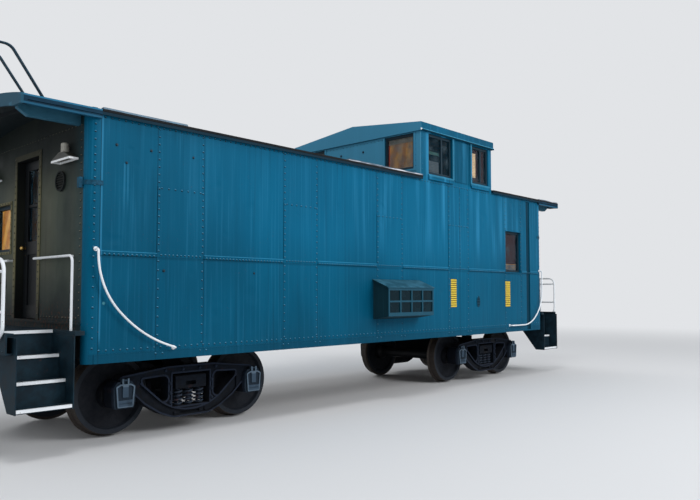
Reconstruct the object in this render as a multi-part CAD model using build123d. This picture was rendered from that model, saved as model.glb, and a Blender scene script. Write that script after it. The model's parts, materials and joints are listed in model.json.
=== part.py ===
"""A steel railway caboose with a cupola, on two four-wheel trucks.

Millimetres. X runs along the car, Y across it and Z up from the top of the rails.
The origin is at the middle of the car, on the plane of the rail tops.
End A is at -X and end B at +X. B's pieces are A's, turned half a turn about Z.
Each sub-part is one file, parts/NAME.step.
"""

import os
from math import cos, radians, sin, sqrt

from build123d import *

# Body shell
BODY_LENGTH = 9000.0
BODY_WIDTH = 2780.0
SILL_Z = 811.0
EAVE_Z = 3267.0
SIDE_WALL_T = 90.0
END_WALL_T = 130.0
CORNER_R = 88.0
FLOOR_Z = 1200.0
FLOOR_T = 110.0

# Main roof, an arc across the car that runs out over both platforms
ROOF_RISE = 150.0
ROOF_T = 50.0
ROOF_OVERHANG = 40.0
ROOF_REACH = 650.0
CHANNEL_DEPTH = 90.0
CHANNEL_LIP = 32.0
CHANNEL_GROOVE = 22.0
CHANNEL_BACK = 120.0
END_ARCH_T = 25.0
END_ARCH_DEPTH = 70.0
HEAD_BEAM_Y = 1200.0
HEAD_BEAM_W = 60.0
HEAD_BEAM_Z = 3120.0

# Side bays. The last one holds the window, and the others are plated over
BAY_PITCH = 1730.0
BAY_COUNT = 5
BAY_WIDTH = 575.0
BAY_PLATE_T = 4.0
SIDE_WINDOW_W = 530.0
SIDE_WINDOW_Z0 = 1870.0
SIDE_WINDOW_Z1 = 2595.0
SIDE_WINDOW_RECESS = 40.0
BELT_Z = 1880.0
BELT_H = 60.0
BELT_T = 8.0
BELT_INSET = 140.0
SILL_BAND_H = 89.0
SILL_BAND_T = 6.0
GROOVE_INSET = 500.0
GROOVE_W = 130.0
GROOVE_DEPTH = 14.0
OVAL_X = 2297.0
OVAL_Z = 1354.0
OVAL_H = 180.0
OVAL_W = 96.0

# End walls and doors
DOOR_W = 580.0
DOOR_Z0 = 1210.0
DOOR_Z1 = 2955.0
DOOR_T = 45.0
DOOR_CLEAR = 6.0
DOOR_STILE = 95.0
DOOR_PANEL_H = 560.0
HINGE_R = 11.0
HINGE_Z = (1500.0, 2100.0, 2700.0)
PIN_R = 6.0
PIN_CLEAR = 0.3
KNOB_R = 24.0
JAMB_W = 60.0
JAMB_T = 8.0
LEDGE_H = 18.0
END_WINDOW_Y0 = 450.0
END_WINDOW_Y1 = 1000.0
END_WINDOW_Z0 = 1960.0
END_WINDOW_Z1 = 2500.0
END_WINDOW_RECESS = 50.0

# Cupola
CUPOLA_X0 = 740.0
CUPOLA_X1 = 2740.0
CUPOLA_EAVE_Z = 4100.0
CUPOLA_APEX_Z = 4250.0
CUPOLA_WALL_T = 80.0
CUPOLA_ROOF_T = 45.0
CUPOLA_FASCIA_DEPTH = 130.0
CUPOLA_OVERHANG = 30.0
CUPOLA_SIDE_Z0 = 3330.0
CUPOLA_END_Z0 = 3400.0
CUPOLA_WINDOW_Z1 = 3955.0
CUPOLA_WINDOW_RECESS = 20.0
CUPOLA_SIDE_WINDOWS = ((505.0, 620.0), (1638.0, 520.0))
CUPOLA_END_WINDOW_W = 582.0
CUPOLA_END_WINDOW_INSET = 133.0
CUPOLA_POST_W = 44.0
CUPOLA_SILL_T = 28.0
GUTTER_D = 28.0

# Windows
SASH_W = 38.0
SASH_T = 40.0
GLASS_T = 8.0

# Underframe
CENTRE_SILL_W = 380.0
CENTRE_SILL_Z0 = 790.0
PLATE_T = 20.0
FLANGE_W = 90.0
FLANGE_T = 14.0
BEARER_T = 20.0
SIDE_SILL_Z0 = 841.0
SIDE_BEARING_Y = 640.0
TRUCK_INSET = 1420.0
BOLSTER_W = 360.0
END_MEMBER_H = 230.0

# Platforms, steps and couplers
PLATFORM_REACH = 690.0
END_SILL_HALF_W = 1330.0
END_SILL_Z0 = 940.0
END_SILL_FLANGE = 70.0
DECK_Z = 1130.0
DECK_T = 40.0
STEP_WELL_GAP = 90.0
STEP_RISE = 225.0
STEP_GOING = 150.0
STEP_COUNT = 3
STEP_EDGE = 10.0
STEP_PLATE_T = 10.0
TREAD_T = 8.0
NOSING_H = 35.0
STRIKER_W = 380.0
STRIKER_REACH = 60.0
MOUTH_HALF_W = 120.0
COUPLER_Z = 876.0
COUPLER_REACH = 460.0
SHANK_HALF = 64.0
COUPLER_HALF_H = 140.0
KNUCKLE_HALF_H = 105.0
KNUCKLE_PIN_R = 20.0

# Rails and ladders
RAIL_D = 32.0
IRON_D = 22.0
RAIL_TOP_Z = 1790.0
RAIL_BARS_Z = (1680.0, 1320.0)
RAIL_FOOT_Z = 1000.0
RAIL_TOE_Z = 1090.0
RAIL_OUT_INSET = 90.0
RAIL_POST_INSET = 390.0
RAIL_IN_INSET = 590.0
RAIL_BEND = 110.0
WALL_RAIL_Z = 1850.0
WALL_RAIL_OFF = 60.0
WALL_RAIL_INSET = 159.0
IRON_OFF = 62.0
IRON_BEND = 26.0
IRON_TOP_Z = 1914.0
IRON_TOP_INSET = 92.0
IRON_FOOT_Z = 925.0
IRON_A_BENDS = ((92.0, 1549.0), (551.0, 1065.0))
IRON_A_RADII = (820.0, 1350.0)
IRON_A_FOOT = 960.0
IRON_B_BENDS = ((92.0, 1301.0), (507.0, 925.0))
IRON_B_RADII = (600.0, 700.0)
IRON_B_FOOT = 1195.0
LADDER_Y = (-310.0, -660.0)
LADDER_TOP_Z = 3940.0
LADDER_BAR_W = 45.0
LADDER_BAR_T = 12.0
LADDER_FOOT_REACH = 75.0
LADDER_CREST_REACH = 460.0
RUNG_D = 20.0
RUNG_Z0 = 1430.0
RUNG_PITCH = 400.0
RUNG_COUNT = 6

# Small fittings
BRAKE_STAFF_Y = -765.0
BRAKE_STAFF_INSET = 65.0
BRAKE_STAFF_R = 16.0
BRAKE_STAFF_Z = 1700.0
BRAKE_WHEEL_Z = 1560.0
BRAKE_WHEEL_R = 180.0
VENT_Y = -830.0
VENT_Z = 2617.0
VENT_R = 104.0
LAMP_Y = (-990.0, 950.0)
LAMP_SHADE_Z = 2790.0
LAMP_SHADE_W = 400.0
LAMP_SHADE_REACH = 95.0
LAMP_SHADE_T = 6.0
LAMP_RIM_H = 22.0
LAMP_HOOD_H = 66.0
LAMP_BODY_R = 36.0
LAMP_BODY_H = 105.0
LAMP_BULB_R = 20.0
MARKER_Z0 = 2532.0
MARKER_H = 44.0
MARKER_T = 8.0
COVER_X0 = -364.0
COVER_X1 = 660.0
COVER_REACH = 280.0
COVER_Z0 = 1175.0
COVER_Z1 = 1562.0
COVER_TOP_Z = 1675.0
COVER_T = 12.0
COVER_BAYS = 4
COVER_BAR = 24.0
TANK_X = -640.0
TANK_Y = 620.0
TANK_Z = 905.0
TANK_R = 150.0
TANK_L = 1100.0
CYLINDER_X = 600.0
CYLINDER_Y = -560.0
CYLINDER_Z = 900.0
CYLINDER_R = 125.0

# Trucks
WHEELBASE = 1676.0
WHEEL_R = 419.0
FLANGE_H = 25.0
RIM_IN_Y = 677.0
RIM_W = 140.0
AXLE_R = 82.0
JOURNAL_R = 64.0
JOURNAL_CLEAR = 0.4
JOURNAL_END_Y = 1060.0
FRAME_Y0 = 905.0
FRAME_Y1 = 1050.0
FRAME_TOP_Z = 690.0
FRAME_LOW_Z = 127.0
FRAME_LIP_Z = 202.0
FRAME_OPENING_Z = 604.0
FRAME_EDGE = 18.0
FRAME_RAISE = 9.0
FRAME_POCKET = 30.0
COLUMN_X = 245.0
COLUMN_W = 52.0
BOX_HALF = 120.0
BOX_Z0 = 302.0
BOX_Z1 = 548.0
BOX_Y0 = 880.0
BOX_Y1 = 1096.0
LID_T = 22.0
LID_GROOVE = 13.0
CENTRE_PLATE_Z = 700.0
CENTRE_PLATE_R = 160.0
PLATE_GAP = 0.3
SPRING_SEAT_Z = 245.0
SPRING_TOP_Z = 432.0
SPRING_R = 58.0
SPRING_WIRE = 24.0
SPRING_TURNS = 4.7
SPRING_PITCH_X = 138.0
TRUCK_BOLSTER_W = 400.0
BRAKE_BEAM_Z = 330.0
BRAKE_BEAM_H = 60.0
BRAKE_BEAM_T = 42.0
SHOE_GAP = 8.0
SHOE_T = 52.0

# Values worked out from those above
HALF_L = BODY_LENGTH / 2
HALF_W = BODY_WIDTH / 2
UNDERFRAME_TOP = FLOOR_Z - FLOOR_T
INNER_W = HALF_W - SIDE_WALL_T
INNER_L = HALF_L - END_WALL_T
CORNER = min(CORNER_R, SIDE_WALL_T - 1)
ROOF_END = HALF_L + ROOF_REACH
ROOF_HALF_W = HALF_W + ROOF_OVERHANG
ROOF_R = (ROOF_HALF_W**2 + ROOF_RISE**2) / (2 * ROOF_RISE)
ROOF_AXIS_Z = EAVE_Z + ROOF_RISE - ROOF_R
BAY_X = [(n - (BAY_COUNT - 1) / 2) * BAY_PITCH for n in range(BAY_COUNT)]
SIDE_WINDOW_X = BAY_X[-1]
BEARER_X = BAY_X[1:-1]
TRUCK_X = HALF_L - TRUCK_INSET
END_SILL_X = HALF_L + PLATFORM_REACH
STEP_WELL_X0 = HALF_L + STEP_WELL_GAP
STEP_WELL_X1 = END_SILL_X - END_SILL_FLANGE
STEP_WELL_Y = HALF_W - STEP_COUNT * STEP_GOING - STEP_EDGE
RAILING_X = END_SILL_X + RAIL_D / 2
COUPLER_FACE = END_SILL_X + COUPLER_REACH
CUPOLA_END_WINDOW_Y = HALF_W - CUPOLA_END_WINDOW_INSET - CUPOLA_END_WINDOW_W / 2
HIGH = 6000.0  # above everything
ROOT = 5.0  # how far a raised piece runs into what it is fused with

nodes = {}


# Shapes that the pieces are made of


def block(x0, x1, y0, y1, z0, z1):
    """A box between two corners."""
    middle = Pos((x0 + x1) / 2, (y0 + y1) / 2, (z0 + z1) / 2)
    return middle * Box(x1 - x0, y1 - y0, z1 - z0)


def rod(points, diameter, bend):
    """A round bar along straight runs joined by tangent arcs of radius bend."""
    path = FilletPolyline(*points, radius=bend)
    section = Plane(origin=path @ 0, z_dir=path % 0) * Circle(diameter / 2)
    return sweep(section, path=path)


def round_bar(start, end, diameter):
    """A straight round bar from one point to another."""
    line = Line(start, end)
    return extrude(Plane(origin=start, z_dir=line % 0) * Circle(diameter / 2), amount=line.length)


def drum_x(x0, x1, y, z, radius):
    """A cylinder along X."""
    return Pos((x0 + x1) / 2, y, z) * Rot(0, 90, 0) * Cylinder(radius, x1 - x0)


def drum_y(y0, y1, x, z, radius):
    """A cylinder along Y."""
    return Pos(x, (y0 + y1) / 2, z) * Rot(90, 0, 0) * Cylinder(radius, y1 - y0)


def across(points, x0, x1):
    """A closed outline of (y, z) points, run along X from x0 to x1."""
    outline = make_face(Polyline(*points, close=True))
    return Pos(x0, 0, 0) * extrude(Plane.YZ * outline, amount=x1 - x0)


def along(outline, y0, y1):
    """A sketch in (x, z), run along Y from y0 to y1."""
    return Pos(0, y0, 0) * extrude(Plane.XZ * outline, amount=y0 - y1)


def polygon(points, radius=0.0):
    """A closed sketch through the points, with its corners rounded."""
    if radius:
        return make_face(FilletPolyline(*points, radius=radius, close=True))
    return make_face(Polyline(*points, close=True))


def inset(points, amount, radius):
    """The area a set distance inside a closed outline, with its corners rounded."""
    inner = offset(polygon(points), amount=-amount, kind=Kind.INTERSECTION)
    return fillet(inner.vertices(), radius)


def turned(shape):
    """The same shape at the other end of the car."""
    return Rot(0, 0, 180) * shape


def mirrored(shape):
    """The same shape on the other side of the car."""
    return mirror(shape, about=Plane.XZ)


def four(shape):
    """A shape of end A, -Y at all four corners of the car."""
    return [shape, mirrored(shape), turned(shape), turned(mirrored(shape))]


def fused(shapes):
    """All the shapes as one."""
    whole = shapes[0]
    for shape in shapes[1:]:
        whole = whole + shape
    return whole


def add(name, *shapes):
    """Keeps the shapes' solids as one sub-part."""
    nodes[name] = [solid for shape in shapes for solid in shape.solids()]


# Roof


def roof_z(y, drop=0.0):
    """Height of the main roof's top at y, or of the arc a set drop inside it."""
    return ROOF_AXIS_Z + sqrt((ROOF_R - drop) ** 2 - y * y)


def below_roof(drop, half_w, half_l, base_z=0.0):
    """All the space below the roof arc, or the arc a set drop inside it, down to base_z."""
    eave = roof_z(half_w, drop)
    arc = ThreePointArc((-half_w, eave), (0, roof_z(0.0, drop)), (half_w, eave))
    edge = Polyline((half_w, eave), (half_w, base_z), (-half_w, base_z), (-half_w, eave))
    return Pos(-half_l, 0, 0) * extrude(Plane.YZ * make_face(arc + edge), amount=2 * half_l)


def roof_channel():
    """The grooved edge channel over end A's platform, on -Y, with its corner block."""
    w = ROOF_HALF_W
    low = EAVE_Z - CHANNEL_DEPTH
    outline = (
        (-HALF_W, EAVE_Z),
        (-w, EAVE_Z),
        (-w, EAVE_Z - CHANNEL_LIP),
        (-w + CHANNEL_GROOVE, EAVE_Z - CHANNEL_LIP),
        (-w + CHANNEL_GROOVE, low + CHANNEL_LIP),
        (-w, low + CHANNEL_LIP),
        (-w, low),
        (-HALF_W, low),
    )
    channel = across(outline, -ROOF_END, -HALF_L + CHANNEL_BACK)
    corner = block(-ROOF_END, -ROOF_END + 60, -w - 4, -HALF_W, low - 4, EAVE_Z)
    return channel + corner


def head_beam():
    """The lengthwise beam under end A's roof on -Y, cut up towards the roof's end."""
    y0 = -HEAD_BEAM_Y - HEAD_BEAM_W / 2
    side = polygon(
        (
            (-HALF_L, HEAD_BEAM_Z),
            (-ROOF_END + 150, HEAD_BEAM_Z),
            (-ROOF_END + 55, HEAD_BEAM_Z + 60),
            (-ROOF_END + 25, EAVE_Z + 40),
            (-HALF_L, EAVE_Z + 40),
        )
    )
    return along(side, y0, y0 + HEAD_BEAM_W)


def roof_rib(x0, x1, depth):
    """A band that follows the roof's underside, depth deep, from x0 to x1."""
    ring = below_roof(ROOF_T / 2, HALF_W, ROOF_END, EAVE_Z - CHANNEL_DEPTH)
    ring = ring - below_roof(ROOF_T + depth, HALF_W + 10, ROOF_END + 1)
    return ring & block(x0, x1, -HALF_W, HALF_W, 0, HIGH)


def main_roof():
    """The arched roof, open under the cupola, with its edge channels, ribs and beams."""
    sheet = below_roof(0, ROOF_HALF_W, ROOF_END)
    sheet = sheet - below_roof(ROOF_T, ROOF_HALF_W + 1, ROOF_END + 1)
    end = head_beam() & below_roof(ROOF_T / 2, ROOF_HALF_W, ROOF_END)
    end = end + mirrored(end) + roof_channel() + mirrored(roof_channel())
    end = end + roof_rib(-ROOF_END, -ROOF_END + END_ARCH_T, END_ARCH_DEPTH)
    middle = -HALF_L - ROOF_REACH / 2
    end = end + roof_rib(middle - 12, middle + 12, END_ARCH_DEPTH / 2)
    sheet = sheet + end + turned(end)
    edge = HALF_W - CUPOLA_WALL_T
    well = block(CUPOLA_X0 + CUPOLA_WALL_T, CUPOLA_X1 - CUPOLA_WALL_T, -edge, edge, 0, HIGH)
    notch = block(CUPOLA_X0, CUPOLA_X1, -2 * HALF_W, -edge, 0, HIGH)
    return sheet - well - notch - mirrored(notch)


# Body shell


def belt():
    """The belt moulding on -Y, between the bays."""
    bottom = BELT_Z - BELT_H / 2
    outline = (
        (-HALF_W + ROOT, bottom),
        (-HALF_W, bottom),
        (-HALF_W - BELT_T, bottom + 8),
        (-HALF_W - BELT_T, bottom + BELT_H - 14),
        (-HALF_W, bottom + BELT_H),
        (-HALF_W + ROOT, bottom + BELT_H),
    )
    starts = [-HALF_L + BELT_INSET] + [x + BAY_WIDTH / 2 for x in BAY_X]
    ends = [x - BAY_WIDTH / 2 for x in BAY_X] + [HALF_L - BELT_INSET]
    return [across(outline, x0, x1) for x0, x1 in zip(starts, ends)]


def side_wall():
    """The wall on -Y: bays, belt, sill band, window hole and rounded corners."""
    plan = Pos(0, -(HALF_W + INNER_W) / 2) * Rectangle(BODY_LENGTH, SIDE_WALL_T)
    plan = fillet(plan.vertices().group_by(Axis.Y)[0], CORNER)
    wall = Pos(0, 0, SILL_Z) * extrude(plan, amount=EAVE_Z + ROOF_RISE - SILL_Z)
    wall = wall & below_roof(ROOF_T, HALF_W + 10, HALF_L + 10)
    reach = HALF_L - CORNER
    band = block(-reach, reach, -HALF_W - SILL_BAND_T, -HALF_W + ROOT, SILL_Z, SILL_Z + SILL_BAND_H)
    half = BAY_WIDTH / 2
    face = -HALF_W - BAY_PLATE_T
    plates = [
        block(x - half, x + half, face, -HALF_W + ROOT, BELT_Z - 20, SIDE_WINDOW_Z1) for x in BAY_X[:-1]
    ]
    wall = fused([wall, band, *belt(), *plates])
    half = SIDE_WINDOW_W / 2
    for z, tall in ((SIDE_WINDOW_Z1 + 4, 14), (SIDE_WINDOW_Z0 - 20, 16)):
        wall = wall + block(
            SIDE_WINDOW_X - half - 18, SIDE_WINDOW_X + half + 18, -HALF_W - 14, -HALF_W + ROOT, z, z + tall
        )
    wall = wall - block(
        SIDE_WINDOW_X - half,
        SIDE_WINDOW_X + half,
        -HALF_W - 50,
        -INNER_W + 10,
        SIDE_WINDOW_Z0,
        SIDE_WINDOW_Z1,
    )
    x = HALF_L - GROOVE_INSET
    groove = block(
        x - GROOVE_W / 2,
        x + GROOVE_W / 2,
        -HALF_W - 50,
        -HALF_W + GROOVE_DEPTH,
        SILL_Z + 23,
        EAVE_Z - 77,
    )
    return wall - groove


def oval_cover():
    """The small oval cover on the side sheet, standing 8 mm proud."""
    shape = Pos(OVAL_X, OVAL_Z) * Rot(0, 0, 90) * SlotOverall(OVAL_H, OVAL_W)
    return along(shape, -HALF_W - 8, -HALF_W + ROOT)


def hinge_fixed(z):
    """The two outer knuckles and the pin of a door hinge at height z, end A."""
    x = -INNER_L + HINGE_R
    y = -DOOR_W / 2 + DOOR_CLEAR / 2
    parts = Pos(x, y, z) * Cylinder(PIN_R, 110)
    for side in (-1, 1):
        knuckle = Pos(x, y, z + side * 42) * Cylinder(HINGE_R, 26)
        strap = block(x - HINGE_R - 4, x, y - 45, y, z + side * 42 - 13, z + side * 42 + 13)
        parts = parts + knuckle + strap
    return parts


def hinge_moving(z):
    """The middle knuckle of a door hinge, round its pin."""
    x = -INNER_L + HINGE_R
    y = -DOOR_W / 2 + DOOR_CLEAR / 2
    tall = 2 * (42 - 13 - 1)
    knuckle = Pos(x, y, z) * Cylinder(HINGE_R, tall)
    strap = block(x - HINGE_R, x, y, y + 45, z - tall / 2, z + tall / 2)
    return (knuckle + strap) - Pos(x, y, z) * Cylinder(PIN_R + PIN_CLEAR, 200)


def end_wall():
    """End A's wall: doorway and window hole in raised frames, ledge, hinge halves."""
    wall = block(-HALF_L, -INNER_L, -INNER_W, INNER_W, UNDERFRAME_TOP, HIGH)
    wall = wall & below_roof(ROOF_T, HALF_W, HALF_L + 10)
    face = -HALF_L - JAMB_T
    door = DOOR_W / 2
    frame = block(face, -HALF_L + ROOT, -door - JAMB_W, door + JAMB_W, DOOR_Z0, DOOR_Z1 + JAMB_W)
    rim = JAMB_W / 2
    trim = block(
        face,
        -HALF_L + ROOT,
        END_WINDOW_Y0 - rim,
        END_WINDOW_Y1 + rim,
        END_WINDOW_Z0 - rim,
        END_WINDOW_Z1 + rim,
    )
    ledge = block(-HALF_L - 2 * JAMB_T, -HALF_L + ROOT, -INNER_W, INNER_W, FLOOR_Z - LEDGE_H, FLOOR_Z)
    wall = wall + frame + trim + ledge
    wall = wall - block(face - 50, -INNER_L + 10, -door, door, DOOR_Z0, DOOR_Z1)
    wall = wall - block(
        face - 50, -INNER_L + 10, END_WINDOW_Y0, END_WINDOW_Y1, END_WINDOW_Z0, END_WINDOW_Z1
    )
    for z in HINGE_Z:
        wall = wall + hinge_fixed(z)
    return wall


def end_door():
    """End A's door leaf with a lower panel, a light, knobs and its hinge halves."""
    half = DOOR_W / 2 - DOOR_CLEAR
    x0 = -INNER_L - DOOR_T
    z0 = DOOR_Z0 + DOOR_CLEAR
    z1 = DOOR_Z1 - DOOR_CLEAR
    leaf = block(x0, -INNER_L, -half, half, z0, z1)
    inner = half - DOOR_STILE
    low = z0 + 1.5 * DOOR_STILE
    for side in (x0 - 5, -INNER_L - DOOR_T / 3):
        leaf = leaf - block(side, side + DOOR_T / 3 + 5, -inner, inner, low, low + DOOR_PANEL_H)
    light_z0 = low + DOOR_PANEL_H + 1.5 * DOOR_STILE
    light_z1 = z1 - DOOR_STILE
    leaf = leaf - block(x0 - 5, -INNER_L + 5, -inner, inner, light_z0, light_z1)
    bar_z = (light_z0 + light_z1) / 2
    bar = block(x0 + 8, -INNER_L - 8, -inner, inner, bar_z - 15, bar_z + 15)
    middle = -INNER_L - DOOR_T / 2
    glass = block(middle - GLASS_T / 2, middle + GLASS_T / 2, -inner, inner, light_z0, light_z1)
    pane = glass - bar
    leaf = leaf + bar
    knob_y = half - DOOR_STILE / 2
    knob_z = (low + DOOR_PANEL_H + light_z0) / 2
    for x, sign in ((x0, -1), (-INNER_L, 1)):
        neck = drum_x(min(x, x + sign * 40), max(x, x + sign * 40), knob_y, knob_z, KNOB_R / 2)
        leaf = leaf + neck + Pos(x + sign * 40, knob_y, knob_z) * Sphere(KNOB_R)
    for z in HINGE_Z:
        room = Pos(-INNER_L + HINGE_R, -DOOR_W / 2 + DOOR_CLEAR / 2, z) * Cylinder(HINGE_R + 5, 150)
        leaf = leaf - room
        leaf = leaf + hinge_moving(z)
    return leaf, pane


# Cupola


def cupola_roof_z(y):
    """Top of the cupola's low gable at y."""
    run = HALF_W + CUPOLA_OVERHANG
    return CUPOLA_APEX_Z - (CUPOLA_APEX_Z - CUPOLA_EAVE_Z) * abs(y) / run


def cupola_below_roof():
    """The space under the cupola's roof boards."""
    run = HALF_W + CUPOLA_OVERHANG + 10
    drop = CUPOLA_ROOF_T
    points = (
        (-run, cupola_roof_z(run) - drop),
        (0, CUPOLA_APEX_Z - drop),
        (run, cupola_roof_z(run) - drop),
        (run, 0),
        (-run, 0),
    )
    return across(points, CUPOLA_X0 - 100, CUPOLA_X1 + 100)


def cupola_side():
    """The cupola's wall on -Y, in line with the body side, with sills, posts and panel."""
    wall = block(CUPOLA_X0, CUPOLA_X1, -HALF_W, -HALF_W + CUPOLA_WALL_T, SILL_Z, HIGH)
    wall = wall - below_roof(ROOF_T, ROOF_HALF_W, HALF_L)
    wall = wall & cupola_below_roof()
    top = CUPOLA_EAVE_Z - CUPOLA_FASCIA_DEPTH
    sill = (
        (-HALF_W + ROOT, CUPOLA_SIDE_Z0),
        (-HALF_W - CUPOLA_SILL_T, CUPOLA_SIDE_Z0 - 22),
        (-HALF_W - CUPOLA_SILL_T, CUPOLA_SIDE_Z0 - 92),
        (-HALF_W + ROOT, CUPOLA_SIDE_Z0 - 92),
    )
    edges = []
    for start, width in CUPOLA_SIDE_WINDOWS:
        x0 = CUPOLA_X0 + start - width / 2
        x1 = CUPOLA_X0 + start + width / 2
        edges += [x0, x1]
        wall = wall + across(sill, x0 - 20, x1 + 20)
        wall = wall - block(x0, x1, -HALF_W - 1, 0, CUPOLA_SIDE_Z0, CUPOLA_WINDOW_Z1)
    left = edges[1]
    right = edges[2]
    for x in (left, right - CUPOLA_POST_W):
        wall = wall + block(x, x + CUPOLA_POST_W, -HALF_W - 20, -HALF_W + ROOT, CUPOLA_SIDE_Z0 - 60, top)
    middle = (left + right) / 2
    width = right - left - 2 * CUPOLA_POST_W - 30
    tall = top - CUPOLA_SIDE_Z0 + 20
    panel = Pos(middle, top - 20 - tall / 2) * RectangleRounded(width, tall, min(55, width / 3))
    return wall + along(panel, -HALF_W - 7, -HALF_W + ROOT)


def cupola_end():
    """The cupola's end wall at X0, with two windows in raised frames."""
    x0 = CUPOLA_X0
    edge = HALF_W - CUPOLA_WALL_T
    wall = block(x0, x0 + CUPOLA_WALL_T, -edge, edge, SILL_Z, HIGH)
    frame_w = JAMB_W / 2
    half = CUPOLA_END_WINDOW_W / 2
    for y in (-CUPOLA_END_WINDOW_Y, CUPOLA_END_WINDOW_Y):
        wall = wall + block(
            x0 - 10,
            x0 + ROOT,
            y - half - frame_w,
            y + half + frame_w,
            CUPOLA_END_Z0 - frame_w,
            CUPOLA_WINDOW_Z1,
        )
    wall = wall - below_roof(0, ROOF_HALF_W, HALF_L)
    wall = wall & cupola_below_roof()
    for y in (-CUPOLA_END_WINDOW_Y, CUPOLA_END_WINDOW_Y):
        wall = wall - block(
            x0 - 50, x0 + 200, y - half, y + half, CUPOLA_END_Z0, CUPOLA_WINDOW_Z1
        )
    return wall


def cupola_roof():
    """The low gable with a fascia all round and a gutter along each eave."""
    run = HALF_W + CUPOLA_OVERHANG
    x0 = CUPOLA_X0 - CUPOLA_OVERHANG
    x1 = CUPOLA_X1 + CUPOLA_OVERHANG
    low = CUPOLA_EAVE_Z - CUPOLA_FASCIA_DEPTH
    gable = ((-run, CUPOLA_EAVE_Z), (0, CUPOLA_APEX_Z), (run, CUPOLA_EAVE_Z), (run, low), (-run, low))
    roof = across(gable, x0, x1)
    inside = cupola_below_roof() & block(CUPOLA_X0, CUPOLA_X1, -HALF_W, HALF_W, 0, HIGH)
    roof = roof - inside
    gutter = drum_x(x0 - 12, x1 + 12, -run - GUTTER_D / 4, low + GUTTER_D / 2, GUTTER_D / 2)
    return roof + gutter + mirrored(gutter)


def end_to_end(shape):
    """A shape of the cupola's end wall at X0, turned to the one at X1."""
    middle = (CUPOLA_X0 + CUPOLA_X1) / 2
    return Pos(middle, 0, 0) * Rot(0, 0, 180) * Pos(-middle, 0, 0) * shape


# Windows


def window(width, z0, z1, lights):
    """A sash and its panes across X, centred at x = 0, with its outer face at y = 0.

    lights lists each pane's share of the clear width. A mullion stands between two panes.
    """
    middle = (z0 + z1) / 2
    sash = Pos(0, SASH_T / 2, middle) * Box(width, SASH_T, z1 - z0)
    clear = width - 2 * SASH_W - (len(lights) - 1) * SASH_W
    tall = z1 - z0 - 2 * SASH_W
    x = -width / 2 + SASH_W
    panes = []
    for share in lights:
        w = clear * share
        place = Pos(x + w / 2, SASH_T / 2, middle)
        sash = sash - place * Box(w, SASH_T + 2, tall)
        panes.append(place * Box(w, GLASS_T, tall))
        x += w + SASH_W
    return sash, panes


def build_windows():
    """Sashes and panes of the body and the cupola."""
    body = {"sash": [], "pane": []}
    top = {"sash": [], "pane": []}

    def put(kind, place, parts):
        kind["sash"].append(place * parts[0])
        kind["pane"] += [place * pane for pane in parts[1]]

    near = window(SIDE_WINDOW_W, SIDE_WINDOW_Z0, SIDE_WINDOW_Z1, (1.0,))
    face = HALF_W - SIDE_WINDOW_RECESS
    put(body, Pos(SIDE_WINDOW_X, -face, 0), near)
    put(body, Pos(SIDE_WINDOW_X, face, 0) * Rot(0, 0, 180), near)
    end = window(END_WINDOW_Y1 - END_WINDOW_Y0, END_WINDOW_Z0, END_WINDOW_Z1, (1.0,))
    middle = (END_WINDOW_Y0 + END_WINDOW_Y1) / 2
    place = Pos(-HALF_L + END_WINDOW_RECESS, middle, 0) * Rot(0, 0, -90)
    put(body, place, end)
    put(body, Rot(0, 0, 180) * place, end)
    cover_glass = block(
        COVER_X0 + COVER_T,
        COVER_X1 - COVER_T,
        -HALF_W - COVER_REACH + COVER_T,
        -HALF_W - COVER_REACH + COVER_T + GLASS_T,
        COVER_Z0 + 2 * COVER_T,
        COVER_Z1 - COVER_T,
    )
    add("window_sashes", *body["sash"])
    add("window_panes", *body["pane"], cover_glass)
    face = HALF_W - CUPOLA_WINDOW_RECESS
    for start, width in CUPOLA_SIDE_WINDOWS:
        parts = window(width, CUPOLA_SIDE_Z0, CUPOLA_WINDOW_Z1, (0.62, 0.38))
        put(top, Pos(CUPOLA_X0 + start, -face, 0), parts)
        put(top, Pos(CUPOLA_X0 + start, face, 0) * Rot(0, 0, 180), parts)
    parts = window(CUPOLA_END_WINDOW_W, CUPOLA_END_Z0, CUPOLA_WINDOW_Z1, (1.0,))
    for y in (-CUPOLA_END_WINDOW_Y, CUPOLA_END_WINDOW_Y):
        put(top, Pos(CUPOLA_X0 + CUPOLA_WINDOW_RECESS, y, 0) * Rot(0, 0, -90), parts)
        put(top, Pos(CUPOLA_X1 - CUPOLA_WINDOW_RECESS, y, 0) * Rot(0, 0, 90), parts)
    add("cupola_sashes", *top["sash"])
    add("cupola_panes", *top["pane"])


# Underframe and platforms


def centre_sill():
    """Two deep channels under a cover plate, from one end sill to the other."""
    top = UNDERFRAME_TOP
    half = CENTRE_SILL_W / 2
    end = END_SILL_X - FLANGE_T
    sill = block(-end, end, -half, half, top - PLATE_T, top)
    for side in (-1, 1):
        y0, y1 = sorted((side * half, side * (half - PLATE_T)))
        sill = sill + block(-end, end, y0, y1, CENTRE_SILL_Z0, top)
        y0, y1 = sorted((side * half, side * (half - FLANGE_W)))
        sill = sill + block(-end, end, y0, y1, CENTRE_SILL_Z0, CENTRE_SILL_Z0 + PLATE_T)
    return sill


def centre_sill_space():
    """The room that the centre sill takes, so that other members stop at its faces."""
    half = CENTRE_SILL_W / 2
    end = END_SILL_X - FLANGE_T
    return block(-end, end, -half, half, CENTRE_SILL_Z0, UNDERFRAME_TOP)


def side_sill():
    """The channel along the body side on -Y, between the end members."""
    y0 = -INNER_W
    top = UNDERFRAME_TOP
    outline = (
        (y0, top),
        (y0 + FLANGE_W, top),
        (y0 + FLANGE_W, top - FLANGE_T),
        (y0 + PLATE_T, top - FLANGE_T),
        (y0 + PLATE_T, SIDE_SILL_Z0 + FLANGE_T),
        (y0 + FLANGE_W, SIDE_SILL_Z0 + FLANGE_T),
        (y0 + FLANGE_W, SIDE_SILL_Z0),
        (y0, SIDE_SILL_Z0),
    )
    return across(outline, -INNER_L, INNER_L)


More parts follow.
